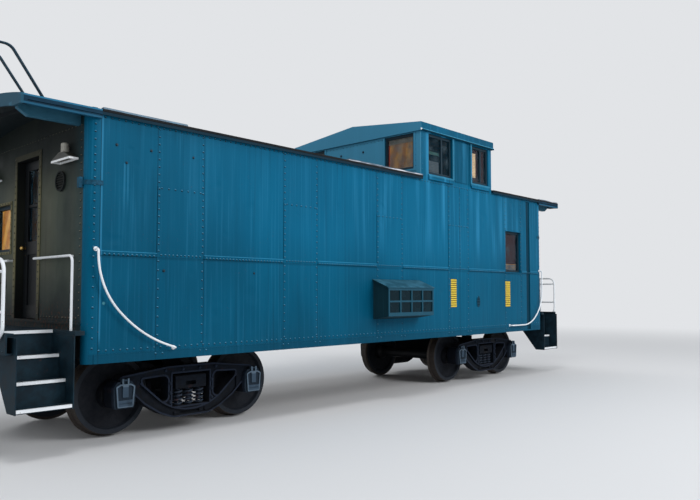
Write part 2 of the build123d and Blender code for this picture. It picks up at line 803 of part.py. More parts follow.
def body_bolster():
    """A body bolster with its centre plate and side bearings, centred at x = 0."""
    top = UNDERFRAME_TOP
    reach = INNER_W - FLANGE_W
    low = CENTRE_PLATE_Z + 15
    web = (
        (-reach, top),
        (reach, top),
        (reach, top - 190),
        (300, low),
        (-300, low),
        (-reach, top - 190),
    )
    beam = across(web, -BOLSTER_W / 2, BOLSTER_W / 2)
    beam = beam + Pos(0, 0, CENTRE_PLATE_Z + 8) * Cylinder(CENTRE_PLATE_R, 16 - 2 * PLATE_GAP)
    for y in (-SIDE_BEARING_Y, SIDE_BEARING_Y):
        beam = beam + block(-100, 100, y - 60, y + 60, CENTRE_PLATE_Z + 31, top - 100)
    return beam - centre_sill_space()


def cross_bearer():
    """A tapered cross bearer centred at x = 0, on -Y, with a bottom flange."""
    top = UNDERFRAME_TOP
    half = CENTRE_SILL_W / 2
    outer = -INNER_W + FLANGE_W
    low = CENTRE_SILL_Z0 + PLATE_T
    web = ((outer, top), (-half, top), (-half, low), (-half - 60, low), (outer, top - 150))
    flange = (
        (-half, low),
        (-half - 60, low),
        (outer, top - 150),
        (outer, top - 150 - FLANGE_T),
        (-half - 60, low - FLANGE_T),
        (-half, low - FLANGE_T),
    )
    return across(web, -BEARER_T / 2, BEARER_T / 2) + across(flange, -BEARER_T * 3, BEARER_T * 3)


def body_end_member():
    """The body's end member at end A on -Y, under the end wall."""
    top = UNDERFRAME_TOP
    return block(-HALF_L, -INNER_L, -INNER_W, -CENTRE_SILL_W / 2, top - END_MEMBER_H, top)


def platform():
    """End A's deck with its step wells, on a channel end sill with the striker."""
    front = -END_SILL_X
    deck = block(front, -HALF_L, -HALF_W, HALF_W, DECK_Z - DECK_T, DECK_Z)
    well = block(front - 10, -STEP_WELL_X0, -2 * HALF_W, -STEP_WELL_Y, 0, HIGH)
    deck = deck - well - mirrored(well)
    web = front + FLANGE_T
    back = front + END_SILL_FLANGE
    section = polygon(
        (
            (front, DECK_Z),
            (back, DECK_Z),
            (back, DECK_Z - FLANGE_T),
            (web, DECK_Z - FLANGE_T),
            (web, END_SILL_Z0 + FLANGE_T),
            (back, END_SILL_Z0 + FLANGE_T),
            (back, END_SILL_Z0),
            (front, END_SILL_Z0),
        )
    )
    sill = along(section, -END_SILL_HALF_W, END_SILL_HALF_W)
    top = DECK_Z - 80
    low = COUPLER_Z - 106
    nose = polygon(
        (
            (front + ROOT, top),
            (front - STRIKER_REACH + 20, top),
            (front - STRIKER_REACH, top - 30),
            (front - STRIKER_REACH, low + 20),
            (front - STRIKER_REACH + 20, low),
            (front + ROOT, low),
        )
    )
    striker = along(nose, -STRIKER_W / 2, STRIKER_W / 2)
    mouth = block(
        front - 200,
        -HALF_L - 200,
        -MOUTH_HALF_W,
        MOUTH_HALF_W,
        COUPLER_Z - SHANK_HALF,
        COUPLER_Z + 96,
    )
    return deck + sill + striker - mouth - centre_sill_space()


def steps():
    """The step set at end A on -Y: two side plates and folded treads between them."""
    x0 = -STEP_WELL_X1
    x1 = -STEP_WELL_X0
    top = DECK_Z - DECK_T
    low = DECK_Z - STEP_COUNT * STEP_RISE - NOSING_H - 5
    inner = -STEP_WELL_Y
    outline = (
        (inner + 40, top),
        (-HALF_W, top),
        (-HALF_W, low),
        (-HALF_W + STEP_GOING + 30, low),
        (inner + 40, top - STEP_RISE - 40),
    )
    parts = [across(outline, x0, x0 + STEP_PLATE_T), across(outline, x1 - STEP_PLATE_T, x1)]
    for n in range(1, STEP_COUNT + 1):
        z = DECK_Z - n * STEP_RISE
        y = inner - n * STEP_GOING
        back = y + STEP_GOING + TREAD_T
        above = top if n == 1 else z + STEP_RISE - TREAD_T
        fold = (
            (y, z - NOSING_H),
            (y, z),
            (back, z),
            (back, above),
            (back + TREAD_T, above),
            (back + TREAD_T, z - TREAD_T),
            (y + TREAD_T, z - TREAD_T),
            (y + TREAD_T, z - NOSING_H),
        )
        parts.append(across(fold, x0 + STEP_PLATE_T, x1 - STEP_PLATE_T))
    return parts


# Rails and ladders


def foot_pad(y, z):
    """A pad that fastens a rail to end A's sill."""
    return block(-END_SILL_X - 10, -END_SILL_X, y - 28, y + 28, z - 30, z + 30)


def end_railing():
    """End A's railing on -Y: the bent outer loop, then its post and two bars."""
    x = -RAILING_X
    y_in = -HALF_W + RAIL_IN_INSET
    y_out = -HALF_W + RAIL_OUT_INSET
    y_post = -HALF_W + RAIL_POST_INSET
    toe = y_out + RAIL_BEND + 15
    points = (
        (x, y_in, RAIL_FOOT_Z),
        (x, y_in, RAIL_TOP_Z),
        (x, y_out, RAIL_TOP_Z),
        (x, y_out, RAIL_TOE_Z),
        (x, toe, RAIL_TOE_Z),
    )
    loop = rod(points, RAIL_D, RAIL_BEND)
    loop = loop + foot_pad(y_in, RAIL_FOOT_Z + 20) + foot_pad(toe, RAIL_TOE_Z)
    post = round_bar((x, y_post, RAIL_FOOT_Z), (x, y_post, RAIL_TOP_Z), RAIL_D * 0.85)
    post = (post + foot_pad(y_post, RAIL_FOOT_Z + 20)) - loop
    bars = []
    for z in RAIL_BARS_Z:
        bar = round_bar((x, y_post, z), (x, y_out, z), RAIL_D * 0.85)
        bars.append(bar - loop - post)
    return loop, post, bars


def wall_handrail():
    """The rail along end A's wall on -Y and down to the deck."""
    x = -HALF_L - WALL_RAIL_OFF
    y0 = -DOOR_W / 2 - JAMB_W + 5
    y1 = -HALF_W + WALL_RAIL_INSET
    points = ((x, y0, WALL_RAIL_Z), (x, y1, WALL_RAIL_Z), (x, y1, DECK_Z))
    rail = rod(points, IRON_D + 4, 60)
    for y in (y0 - 35, y1 + 110):
        rail = rail + round_bar((x, y, WALL_RAIL_Z), (-HALF_L, y, WALL_RAIL_Z), IRON_D)
    return rail


def side_grab_iron(end, bends, foot, radii):
    """A long curved iron on the body side, -Y, from the corner post down to the sill.

    end is -1 at end A and 1 at end B. bends lists the two points, measured in from the
    body's end and up from the rails, that its straight runs would meet at.
    """
    y = -HALF_W - IRON_OFF
    spots = [(IRON_TOP_INSET, IRON_TOP_Z), *bends, (foot, IRON_FOOT_Z)]
    line = [(end * (HALF_L - reach), y, z) for reach, z in spots]
    points = [(line[0][0], -HALF_W, IRON_TOP_Z), *line, (line[-1][0], -HALF_W, IRON_FOOT_Z)]
    iron = rod(points, IRON_D, [IRON_BEND, *radii, IRON_BEND])
    for x, _, z in (points[0], points[-1]):
        iron = iron + drum_y(-HALF_W - 8, -HALF_W, x, z, IRON_D)
    return iron - block(-HALF_L, HALF_L, -HALF_W, 0, 0, HIGH)


def roof_ladder():
    """The ladder at end A: two flat stiles that loop over on to the roof, and rungs."""
    x = -END_SILL_X - LADDER_BAR_T / 2
    crest = -HALF_L - LADDER_CREST_REACH
    foot = -HALF_L - LADDER_FOOT_REACH
    under = below_roof(0, ROOF_HALF_W, ROOF_END + 100)
    parts = []
    for y in LADDER_Y:
        foot_z = roof_z(y)
        path = FilletPolyline(
            (x, y, RAIL_FOOT_Z - 15),
            (x, y, LADDER_TOP_Z),
            (crest, y, LADDER_TOP_Z),
            (foot, y, foot_z + 8),
            radius=110,
        )
        plane = Plane(origin=path @ 0, x_dir=(0, 1, 0), z_dir=path % 0)
        stile = sweep(plane * Rectangle(LADDER_BAR_W, LADDER_BAR_T), path=path)
        above = block(-ROOF_END - 5, 0, y - 100, y + 100, EAVE_Z, HIGH)
        stile = stile - (under & above)
        pad = block(foot - 65, foot + 55, y - 45, y + 45, foot_z - 60, foot_z + 12)
        parts.append(stile + (pad - under))
    for n in range(RUNG_COUNT):
        z = RUNG_Z0 + n * RUNG_PITCH
        parts.append(round_bar((x, LADDER_Y[0], z), (x, LADDER_Y[1], z), RUNG_D))
    return fused(parts)


# Small fittings


def hand_brake():
    """End A's brake stand: staff, gear case and an upright hand wheel."""
    x = -END_SILL_X + BRAKE_STAFF_INSET
    y = BRAKE_STAFF_Y
    z = BRAKE_WHEEL_Z
    staff = Pos(x, y, (DECK_Z + BRAKE_STAFF_Z) / 2) * Cylinder(BRAKE_STAFF_R, BRAKE_STAFF_Z - DECK_Z)
    base = block(x - 50, x + 50, y - 50, y + 50, DECK_Z, DECK_Z + 12)
    case = drum_x(x - 30, x + 30, y, z, 75)
    hub = drum_x(x + 15, x + 75, y, z, 26)
    rim_x = x + 65
    rim = Pos(rim_x, y, z) * Rot(0, 90, 0) * Torus(BRAKE_WHEEL_R, 11)
    parts = [staff, base, case, hub, rim]
    for n in range(5):
        a = radians(90 + 72 * n)
        tip = (rim_x, y + BRAKE_WHEEL_R * cos(a), z + BRAKE_WHEEL_R * sin(a))
        parts.append(round_bar((rim_x - 5, y, z), tip, 14))
    return fused(parts)


def end_vent():
    """The round louvred vent on end A's wall."""
    ring = drum_x(-HALF_L - 24, -HALF_L, VENT_Y, VENT_Z, VENT_R)
    bore = drum_x(-HALF_L - 30, -HALF_L - 6, VENT_Y, VENT_Z, VENT_R - 16)
    louvres = []
    for n in range(-3, 4):
        z = VENT_Z + 25 * n
        blade = ((-HALF_L - 4, z + 9), (-HALF_L - 20, z - 6), (-HALF_L - 20, z - 10), (-HALF_L - 4, z + 5))
        louvres.append(along(polygon(blade), VENT_Y - VENT_R, VENT_Y + VENT_R) & bore)
    return fused([ring - bore, *louvres])


def shade(width, depth, top_width, top_depth, middle, y, z0, z1):
    """A pyramid's frustum from z0 to z1, flat against end A's wall plane at its foot."""
    foot = Pos(middle, y, z0) * Rectangle(depth, width)
    top = Pos(middle, y, z1) * Rectangle(top_depth, top_width)
    return loft([foot, top])


def porch_light(y):
    """A lamp on end A's wall: a straight rim, a tapered hood, a socket and its bulb."""
    z = LAMP_SHADE_Z
    t = LAMP_SHADE_T
    reach = LAMP_SHADE_REACH
    rim_top = z + LAMP_RIM_H
    hood_top = rim_top + LAMP_HOOD_H
    middle = -HALF_L - reach / 2
    half = LAMP_SHADE_W / 2
    rim = block(-HALF_L - reach, -HALF_L, y - half, y + half, z, rim_top)
    hood = shade(LAMP_SHADE_W, reach, 3 * LAMP_BODY_R, 2.2 * LAMP_BODY_R, middle, y, rim_top, hood_top)
    room = block(-HALF_L - reach + t, -HALF_L - t, y - half + t, y + half - t, z - 5, rim_top)
    inner = shade(
        LAMP_SHADE_W - 2 * t, reach - 2 * t, 2 * LAMP_BODY_R, LAMP_BODY_R, middle, y, rim_top, hood_top - t
    )
    body = Pos(middle, y, hood_top + LAMP_BODY_H / 2 - t) * Cylinder(LAMP_BODY_R, LAMP_BODY_H)
    body = fillet(body.edges().group_by(Axis.Z)[-1], LAMP_BODY_R / 2)
    arm = block(middle, -HALF_L, y - 16, y + 16, hood_top + 20, hood_top + 60)
    bulb = Pos(middle, y, hood_top - t - LAMP_BULB_R / 2) * Sphere(LAMP_BULB_R)
    return (rim + hood - room - inner) + body + arm + bulb


def marker_bracket():
    """A strap that wraps the body corner at end A, -Y, and its upright lamp socket."""
    z1 = MARKER_Z0 + MARKER_H
    reach = CORNER + MARKER_T
    outer = RectangleRounded(BODY_LENGTH + 2 * MARKER_T, BODY_WIDTH + 2 * MARKER_T, reach)
    strap = outer - RectangleRounded(BODY_LENGTH, BODY_WIDTH, CORNER)
    strap = Pos(0, 0, MARKER_Z0) * extrude(strap, amount=MARKER_H)
    corner = block(-HALF_L - 50, -HALF_L + 155, -HALF_W - 50, -HALF_W + 150, 0, HIGH)
    x = -HALF_L - MARKER_T
    y = -HALF_W + 105
    socket = block(x - 34, x, y - 26, y + 26, MARKER_Z0 - 30, z1 + 28)
    hole = block(x - 28, x - 8, y - 18, y + 18, MARKER_Z0 - 40, z1 + 40)
    return (strap & corner) + (socket - hole)


def air_reservoir():
    """The air tank below the floor with its two straps."""
    tank = drum_x(TANK_X - TANK_L / 2, TANK_X + TANK_L / 2, TANK_Y, TANK_Z, TANK_R)
    tank = fillet(tank.edges().filter_by(GeomType.CIRCLE), 0.4 * TANK_R)
    for x in (TANK_X - 0.36 * TANK_L, TANK_X + 0.36 * TANK_L):
        hoop = block(x - 25, x + 25, TANK_Y - TANK_R - 12, TANK_Y + TANK_R + 12, TANK_Z, UNDERFRAME_TOP)
        hoop = hoop + drum_x(x - 25, x + 25, TANK_Y, TANK_Z, TANK_R + 12)
        inside = block(x - 30, x + 30, TANK_Y - TANK_R, TANK_Y + TANK_R, TANK_Z, UNDERFRAME_TOP + 1)
        tank = tank + (hoop - inside - drum_x(x - 30, x + 30, TANK_Y, TANK_Z, TANK_R))
    return tank


def brake_cylinder():
    """The brake cylinder below the floor, with its bracket and push rod."""
    x0 = CYLINDER_X - 210
    y = CYLINDER_Y
    z = CYLINDER_Z
    barrel = drum_x(x0, x0 + 420, y, z, CYLINDER_R)
    flange = drum_x(x0 - 12, x0 + 12, y, z, CYLINDER_R + 28)
    push_rod = drum_x(x0 - 290, x0, y, z, 22)
    bracket = block(x0 + 40, x0 + 390, y - 90, y + 90, z + 80, UNDERFRAME_TOP)
    return fused([barrel, flange, push_rod, bracket])


def cover_box():
    """The cover box on the near side: a lean-to with a barred front."""
    front = -HALF_W - COVER_REACH
    t = COVER_T
    outline = ((-HALF_W, COVER_Z0 - 45), (front, COVER_Z0), (front, COVER_Z1), (-HALF_W, COVER_TOP_Z))
    hollow = (
        (-HALF_W, COVER_Z0 - 45 + t),
        (front + t, COVER_Z0 + t),
        (front + t, COVER_Z1 - t),
        (-HALF_W, COVER_TOP_Z - t),
    )
    box = across(outline, COVER_X0, COVER_X1) - across(hollow, COVER_X0 + t, COVER_X1 - t)
    lid = (
        (-HALF_W, COVER_TOP_Z + t),
        (front - t, COVER_Z1 + t),
        (front - t, COVER_Z1),
        (-HALF_W, COVER_TOP_Z - t / 2),
    )
    box = box + (across(lid, COVER_X0 - 22, COVER_X1 + 22) - across(hollow, COVER_X0 + t, COVER_X1 - t))
    pitch = (COVER_X1 - COVER_X0 - COVER_BAR) / COVER_BAYS
    z0 = COVER_Z0 + 50
    middle = (COVER_Z0 + COVER_Z1) / 2 + 10
    z1 = COVER_Z1 - 32
    for n in range(COVER_BAYS):
        x = COVER_X0 + COVER_BAR + n * pitch
        for low, high in ((z0, middle - COVER_BAR / 2), (middle + COVER_BAR / 2, z1)):
            box = box - block(x, x + pitch - COVER_BAR, front - 5, front + t, low, high)
    return box


def coupler():
    """End A's coupler: shank and head with its guard arm, and the closed knuckle."""
    face = -COUPLER_FACE
    shank = block(
        face + 190, -HALF_L - 250, -SHANK_HALF, SHANK_HALF, COUPLER_Z - SHANK_HALF, COUPLER_Z + SHANK_HALF
    )
    head = (
        (face + 240, -95),
        (face + 60, -175),
        (face - 42, -168),
        (face - 30, -128),
        (face + 62, -100),
        (face + 76, 10),
        (face + 30, 60),
        (face + 52, 150),
        (face + 240, 95),
    )
    body = extrude(polygon(head, 9), amount=2 * COUPLER_HALF_H)
    body = shank + Pos(0, 0, COUPLER_Z - COUPLER_HALF_H) * body
    room = block(face - 60, face + 80, 8, 200, COUPLER_Z - KNUCKLE_HALF_H, COUPLER_Z + KNUCKLE_HALF_H)
    body = body - room
    nose = ((face + 79, 9), (face, 15), (face - 8, 45), (face - 2, 105), (face + 40, 138), (face + 79, 130))
    knuckle = extrude(polygon(nose, 6), amount=2 * KNUCKLE_HALF_H)
    knuckle = Pos(0, 0, COUPLER_Z - KNUCKLE_HALF_H) * knuckle
    pin = Pos(face + 48, 100, COUPLER_Z) * Cylinder(KNUCKLE_PIN_R, 2 * COUPLER_HALF_H + 24)
    body = body + (pin - knuckle)
    return body, knuckle


# Trucks


def wheelset():
    """An axle with its two wheels, turned about Y through the origin."""
    tread = WHEEL_R
    rim_out = RIM_IN_Y + RIM_W
    half = (
        (0, 0),
        (AXLE_R * 0.92, 0),
        (AXLE_R, RIM_IN_Y - 60),
        (AXLE_R + 48, RIM_IN_Y - 20),
        (AXLE_R + 58, RIM_IN_Y + 50),
        (tread - 74, RIM_IN_Y + 30),
        (tread - 59, RIM_IN_Y),
        (tread + FLANGE_H - 10, RIM_IN_Y),
        (tread + FLANGE_H, RIM_IN_Y + 12),
        (tread + FLANGE_H, RIM_IN_Y + 20),
        (tread + 3, RIM_IN_Y + 36),
        (tread, RIM_IN_Y + 50),
        (tread - 4, rim_out - 6),
        (tread - 9, rim_out),
        (tread - 57, rim_out),
        (tread - 69, RIM_IN_Y + 92),
        (AXLE_R + 64, RIM_IN_Y + 84),
        (AXLE_R + 50, RIM_IN_Y + 168),
        (AXLE_R + 10, RIM_IN_Y + 172),
        (JOURNAL_R, RIM_IN_Y + 190),
        (JOURNAL_R, JOURNAL_END_Y),
        (0, JOURNAL_END_Y),
    )
    area = polygon([(r, y) for r, y in half])
    part = revolve(area, axis=Axis.Y, revolution_arc=360)
    return part + mirror(part, about=Plane.XZ)


def frame_outline():
    """The corners of the side frame seen from the side, each with its radius."""
    end = WHEELBASE / 2
    right = (
        (235, FRAME_LOW_Z, 300),
        (395, FRAME_LOW_Z + 63, 400),
        (580, BOX_Z0 + 4, 400),
        (end - 130, BOX_Z0 + 123, 40),
        (end - 60, BOX_Z0 + 123, 24),
        (end + 45, BOX_Z0 + 198, 24),
        (end + 45, BOX_Z1 + 52, 24),
        (end, BOX_Z1 + 80, 40),
        (300, FRAME_TOP_Z, 200),
    )
    left = [(-x, z, radius) for x, z, radius in reversed(right)]
    corners = [*right, *left]
    return [(x, z) for x, z, _ in corners], [radius for _, _, radius in corners]


def frame_windows():
    """The two rounded triangular windows of the side frame."""
    inner = COLUMN_X + COLUMN_W
    points = (
        (inner, FRAME_TOP_Z - 100),
        (inner + 318, FRAME_TOP_Z - 114),
        (inner + 303, FRAME_TOP_Z - 170),
        (inner + 69, FRAME_LIP_Z + 114),
        (inner, FRAME_LIP_Z + 114),
    )
    radii = (60, 14, 14, 20, 56)
    return polygon(points, radii), polygon([(-x, z) for x, z in points], radii)


def frame_lip():
    """The line of the lip that hangs in one curve below the windows and the springs."""
    reach = COLUMN_X + COLUMN_W + 336
    rise = 0.872 * (reach - 250)
    right = [(250, FRAME_LIP_Z), (reach, FRAME_LIP_Z + rise)]
    left = [(-x, z) for x, z in reversed(right)]
    return FilletPolyline(*left, *right, radius=640)


def side_frame():
    """The cast side frame on +Y of a truck centred at x = 0.

    Raised edges run round its outline, windows and spring opening, and a channel lies
    below the lip. The journal boxes are cast on, each with a grooved lid.
    """
    axle = WHEELBASE / 2
    points, radii = frame_outline()
    outline = polygon(points, radii)
    middle = (SPRING_SEAT_Z + FRAME_OPENING_Z) / 2
    opening = Pos(0, middle) * Rectangle(2 * COLUMN_X, FRAME_OPENING_Z - SPRING_SEAT_Z)
    holes = [opening, *frame_windows()]
    line = frame_lip()
    lip = trace(line, FRAME_EDGE)
    inner = inset(points, FRAME_EDGE, FRAME_EDGE / 2)
    edges = (outline - inner) + lip
    for hole in holes:
        edges = edges + offset(hole, amount=FRAME_EDGE)
    face = FRAME_Y1 - FRAME_RAISE
    frame = along(outline, FRAME_Y0, face) + along(edges & outline, face - ROOT, FRAME_Y1)
    start, end = line @ 0, line @ 1
    above = make_face(line + Polyline(end, (end.X, HIGH), (start.X, HIGH), start))
    below = inner & Pos(0, FRAME_LIP_Z) * Rectangle(2 * end.X, 2 * (end.Y - FRAME_LIP_Z))
    channel = below - above - lip
    frame = frame - along(channel, FRAME_Y1 - FRAME_POCKET, FRAME_Y1 + 10)
    for hole in holes:
        frame = frame - along(hole, FRAME_Y0 - 50, FRAME_Y1 + 50)
    slot = Pos(0, FRAME_LOW_Z + 42) * SlotOverall(260, 26)
    frame = frame - along(slot, FRAME_Y1 - 2 * FRAME_POCKET, FRAME_Y1 + 10)
    for x in (-axle, axle):
        frame = frame + journal_box(x)
        frame = frame - drum_y(BOX_Y0 - 10, JOURNAL_END_Y + 5, x, WHEEL_R, JOURNAL_R + JOURNAL_CLEAR)
    return frame


def journal_box(x):
    """A journal box with its hinged lid, centred at x."""
    z0 = BOX_Z0
    z1 = BOX_Z1
    shape = (
        (x - BOX_HALF + 16, z0),
        (x + BOX_HALF - 16, z0),
        (x + BOX_HALF, z0 + 60),
        (x + BOX_HALF, z1 - 30),
        (x + BOX_HALF - 40, z1 + 30),
        (x - BOX_HALF + 40, z1 + 30),
        (x - BOX_HALF, z1 - 30),
        (x - BOX_HALF, z0 + 60),
    )
    box = along(polygon(shape, 12), BOX_Y0, BOX_Y1)
    face = BOX_Y1 + LID_T
    lid = (
        (x - 88, z0 + 14),
        (x + 88, z0 + 14),
        (x + 106, z1 - 18),
        (x + 60, z1 + 6),
        (x - 60, z1 + 6),
        (x - 106, z1 - 18),
    )
    plate = along(polygon(lid, 14), BOX_Y1, face)
    shelf = z0 + 88
    panel = inset(lid, 15, 8) - Pos(x, shelf - 100) * Rectangle(300, 200)
    tongue = Pos(x, shelf + 228) * Rectangle(64, 400)
    groove = Pos(x, z0 + 54) * SlotOverall(140, 12)
    plate = plate - along(panel - tongue, face - LID_GROOVE, face + 5)
    plate = plate - along(groove, face - LID_GROOVE / 2, face + 5)
    ears = [block(x + dx - 9, x + dx + 9, BOX_Y1 - 30, face, z1 - 10, z1 + 62) for dx in (-30, 30)]
    pin = drum_x(x - 46, x + 46, BOX_Y1 + 2, z1 + 44, 13)
    return fused([box, plate, *ears, pin])


def spring(x, y):
    """A coil spring with ground ends between its seat and the bolster."""
    height = SPRING_TOP_Z - SPRING_SEAT_Z
    length = height + SPRING_WIRE / 2
    radius = SPRING_R - SPRING_WIRE / 2
    path = Helix(pitch=length / SPRING_TURNS, height=length, radius=radius)
    section = Plane(origin=path @ 0, z_dir=path % 0) * Circle(SPRING_WIRE / 2)
    coil = Pos(x, y, SPRING_SEAT_Z - SPRING_WIRE / 4) * sweep(section, path=path)
    reach = SPRING_R + 10
    return coil & block(x - reach, x + reach, y - reach, y + reach, SPRING_SEAT_Z, SPRING_TOP_Z)


def truck_bolster():
    """The truck's cross beam with its centre plate, side bearings and hollow ends."""
    end = FRAME_Y1 - 8
    low = SPRING_TOP_Z
    half = TRUCK_BOLSTER_W / 2
    outline = (
        (-end, low),
        (-780, low),
        (-600, 380),
        (600, 380),
        (780, low),
        (end, low),
        (end, 570),
        (FRAME_Y0 - 40, 590),
        (500, 685),
        (-500, 685),
        (-FRAME_Y0 + 40, 590),
        (-end, 570),
    )
    beam = across(outline, -half, half)
    beam = beam + Pos(0, 0, CENTRE_PLATE_Z - 10) * Cylinder(CENTRE_PLATE_R, 20)
    for y in (-SIDE_BEARING_Y, SIDE_BEARING_Y):
        beam = beam + block(-90, 90, y - 50, y + 50, 600, CENTRE_PLATE_Z + 25)
    for y0 in (-end - 10, end - 70):
        pocket = Pos(0, low + 54) * RectangleRounded(130, 46, 10)
        beam = beam - along(pocket, y0, y0 + 80)
    return beam


def brake_gear():
    """The brake beam on the +X side of the bolster, its heads, and its shoes, none behind the beam."""
    x = WHEELBASE / 2
    x0 = COLUMN_X + 4
    x1 = x0 + BRAKE_BEAM_T
    z0 = BRAKE_BEAM_Z
    z1 = z0 + BRAKE_BEAM_H
    parts = [block(x0, x1, -FRAME_Y0, FRAME_Y0, z0, z1)]
    back = WHEEL_R + SHOE_GAP + SHOE_T
    for side in (-1, 1):
        y0, y1 = sorted((side * (RIM_IN_Y + 45), side * (RIM_IN_Y + 125)))
        ring = drum_y(y0, y1, x, WHEEL_R, back) - drum_y(y0 - 1, y1 + 1, x, WHEEL_R, WHEEL_R + SHOE_GAP)
        parts.append(ring & block(x1, x - WHEEL_R / 2, y0, y1, z0 - 90, z1 + 130))
        head = block(x1, x - WHEEL_R, y0 + 15, y1 - 15, z0 - 4, z1 + 4)
        parts.append(head - drum_y(y0, y1, x, WHEEL_R, back))
    return parts


def build_truck(letter, x):
    """One truck: two side frames, bolster, springs, brake gear and two wheelsets."""
    place = Pos(x, 0, 0)
    frame = side_frame()
    add(f"truck_{letter}_side_frames", place * frame, place * mirrored(frame))
    add(f"truck_{letter}_bolster", place * truck_bolster())
    middle = (FRAME_Y0 + FRAME_Y1) / 2
    coil = spring(0, 0)
    spots = [(dx, side * middle) for side in (-1, 1) for dx in (-SPRING_PITCH_X, 0, SPRING_PITCH_X)]
    add(f"truck_{letter}_springs", *(Pos(x + dx, y, 0) * coil for dx, y in spots))
    gear = brake_gear()
    add(f"truck_{letter}_brake_gear", *(place * g for g in gear), *(place * turned(g) for g in gear))
    for number, side in ((1, -1), (2, 1)):
        axle = Pos(x + side * WHEELBASE / 2, 0, WHEEL_R)
        add(f"wheelset_{letter}{number}", axle * wheelset())


def build_body():
    """The car body: shell, roof, cupola, underframe and platforms."""
    near = side_wall()
    add("side_wall_near", near + oval_cover())
    add("side_wall_far", mirrored(near))
    wall = end_wall()
    add("end_wall_a", wall)
    add("end_wall_b", turned(wall))
    add("main_roof", main_roof())
    add("floor", block(-INNER_L, INNER_L, -INNER_W, INNER_W, UNDERFRAME_TOP, FLOOR_Z))
    side = cupola_side()
    add("cupola_side_near", side)
    add("cupola_side_far", mirrored(side))
    end = cupola_end()
    add("cupola_end_a", end)
    add("cupola_end_b", end_to_end(end))
    add("cupola_roof", cupola_roof())
    add("centre_sill", centre_sill())
    sill = side_sill()
    add("side_sills", sill, mirrored(sill))
    bolster = body_bolster()
    bearer = cross_bearer()
    members = [Pos(x, 0, 0) * bolster for x in (-TRUCK_X, TRUCK_X)]
    members += [Pos(x, 0, 0) * side for x in BEARER_X for side in (bearer, mirrored(bearer))]
    add("cross_members", *members, *four(body_end_member()))
    deck = platform()
    add("platform_a", deck)
    add("platform_b", turned(deck))
    flight = steps()
    flight = flight + [mirrored(part) for part in flight]
    add("steps_a", *flight)
    add("steps_b", *(turned(part) for part in flight))
    door, pane = end_door()
    add("end_door_a", door)
    add("end_door_b", turned(door))
    add("door_pane_a", pane)
    add("door_pane_b", turned(pane))


def build_fittings():
    """Railings, ladders, couplers, cover box and small fittings."""
    loop, post, bars = end_railing()
    rail = wall_handrail()
    add("end_railings_a", loop, mirrored(loop))
    add("end_railings_b", turned(loop), turned(mirrored(loop)))
    small = [post, *bars, rail]
    small = small + [mirrored(part) for part in small]
    add("handrails_a", *small)
    add("handrails_b", *(turned(part) for part in small))
    irons = [side_grab_iron(-1, IRON_A_BENDS, IRON_A_FOOT, IRON_A_RADII)]
    irons.append(side_grab_iron(1, IRON_B_BENDS, IRON_B_FOOT, IRON_B_RADII))
    add("side_grab_irons", *irons, *(mirrored(iron) for iron in irons))
    ladder = roof_ladder()
    add("roof_ladder_a", ladder)
    add("roof_ladder_b", turned(ladder))
    head, knuckle = coupler()
    add("coupler_a", head, knuckle)
    add("coupler_b", turned(head), turned(knuckle))
    add("hand_brake_a", hand_brake())
    vent = end_vent()
    add("end_vents", vent, turned(vent))
    lamps = [porch_light(y) for y in LAMP_Y]
    add("porch_lights", *lamps, *(turned(lamp) for lamp in lamps))
    add("marker_brackets", *four(marker_bracket()))
    add("brake_equipment", air_reservoir(), brake_cylinder())
    add("cooler_cover", cover_box())


def write():
    """Writes each sub-part to its own file."""
    os.makedirs("parts", exist_ok=True)
    for name, shapes in nodes.items():
        part = shapes[0] if len(shapes) == 1 else Compound(shapes)
        export_step(part, f"parts/{name}.step")
        print(name, len(shapes))


build_body()
build_windows()
build_fittings()
build_truck("a", -TRUCK_X)
build_truck("b", TRUCK_X)
write()
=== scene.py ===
"""The looks of a steel railway caboose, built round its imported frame.

The frame brings the solid pieces: walls, roofs, platforms, trucks, rails and windows.
This script gives them their finishes and adds the rivets, bolts, strips, blinds and
treads. Everything is in metres, in the frame of the part: X along the car, Y across it,
Z up from the rail tops. End A is at -X, and the near side is at -Y.
"""

import json
from math import cos, pi, radians, sin, sqrt

import bmesh
import bpy
from bpy.props import FloatProperty, FloatVectorProperty, IntProperty, PointerProperty
from bpy.types import Operator, Panel, PropertyGroup
from mathutils import Matrix, Vector


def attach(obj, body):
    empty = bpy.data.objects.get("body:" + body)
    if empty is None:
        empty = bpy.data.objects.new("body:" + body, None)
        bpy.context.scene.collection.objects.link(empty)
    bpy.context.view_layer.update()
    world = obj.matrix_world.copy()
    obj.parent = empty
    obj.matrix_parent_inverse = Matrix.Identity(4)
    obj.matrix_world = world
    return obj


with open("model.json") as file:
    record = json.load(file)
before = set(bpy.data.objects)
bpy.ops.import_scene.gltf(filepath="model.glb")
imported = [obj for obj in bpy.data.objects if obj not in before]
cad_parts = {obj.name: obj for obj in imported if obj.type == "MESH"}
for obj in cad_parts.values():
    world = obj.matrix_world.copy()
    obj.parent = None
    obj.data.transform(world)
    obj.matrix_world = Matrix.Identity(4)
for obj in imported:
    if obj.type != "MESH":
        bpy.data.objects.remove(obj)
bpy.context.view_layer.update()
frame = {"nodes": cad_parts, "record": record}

bl_info = {
    "name": "Steel caboose",
    "version": (1, 0, 0),
    "blender": (4, 5, 0),
    "location": "View3D > Sidebar > Caboose",
    "description": "Finishes, rivets, bolts and trim of a steel railway caboose",
    "category": "Object",
}

# The body's faces that pieces sit on, from the middle of the car: end wall, side sheet, its plates, band and belt
HALF_L = 4.5
SIDE_Y = 1.39
PLATE_Y = SIDE_Y + 0.004
BAND_Y = SIDE_Y + 0.006
BELT_Y = SIDE_Y + 0.008
BAY_X = (-3.46, -1.73, 0.0, 1.73, 3.46)
BAY_HALF = 0.2875

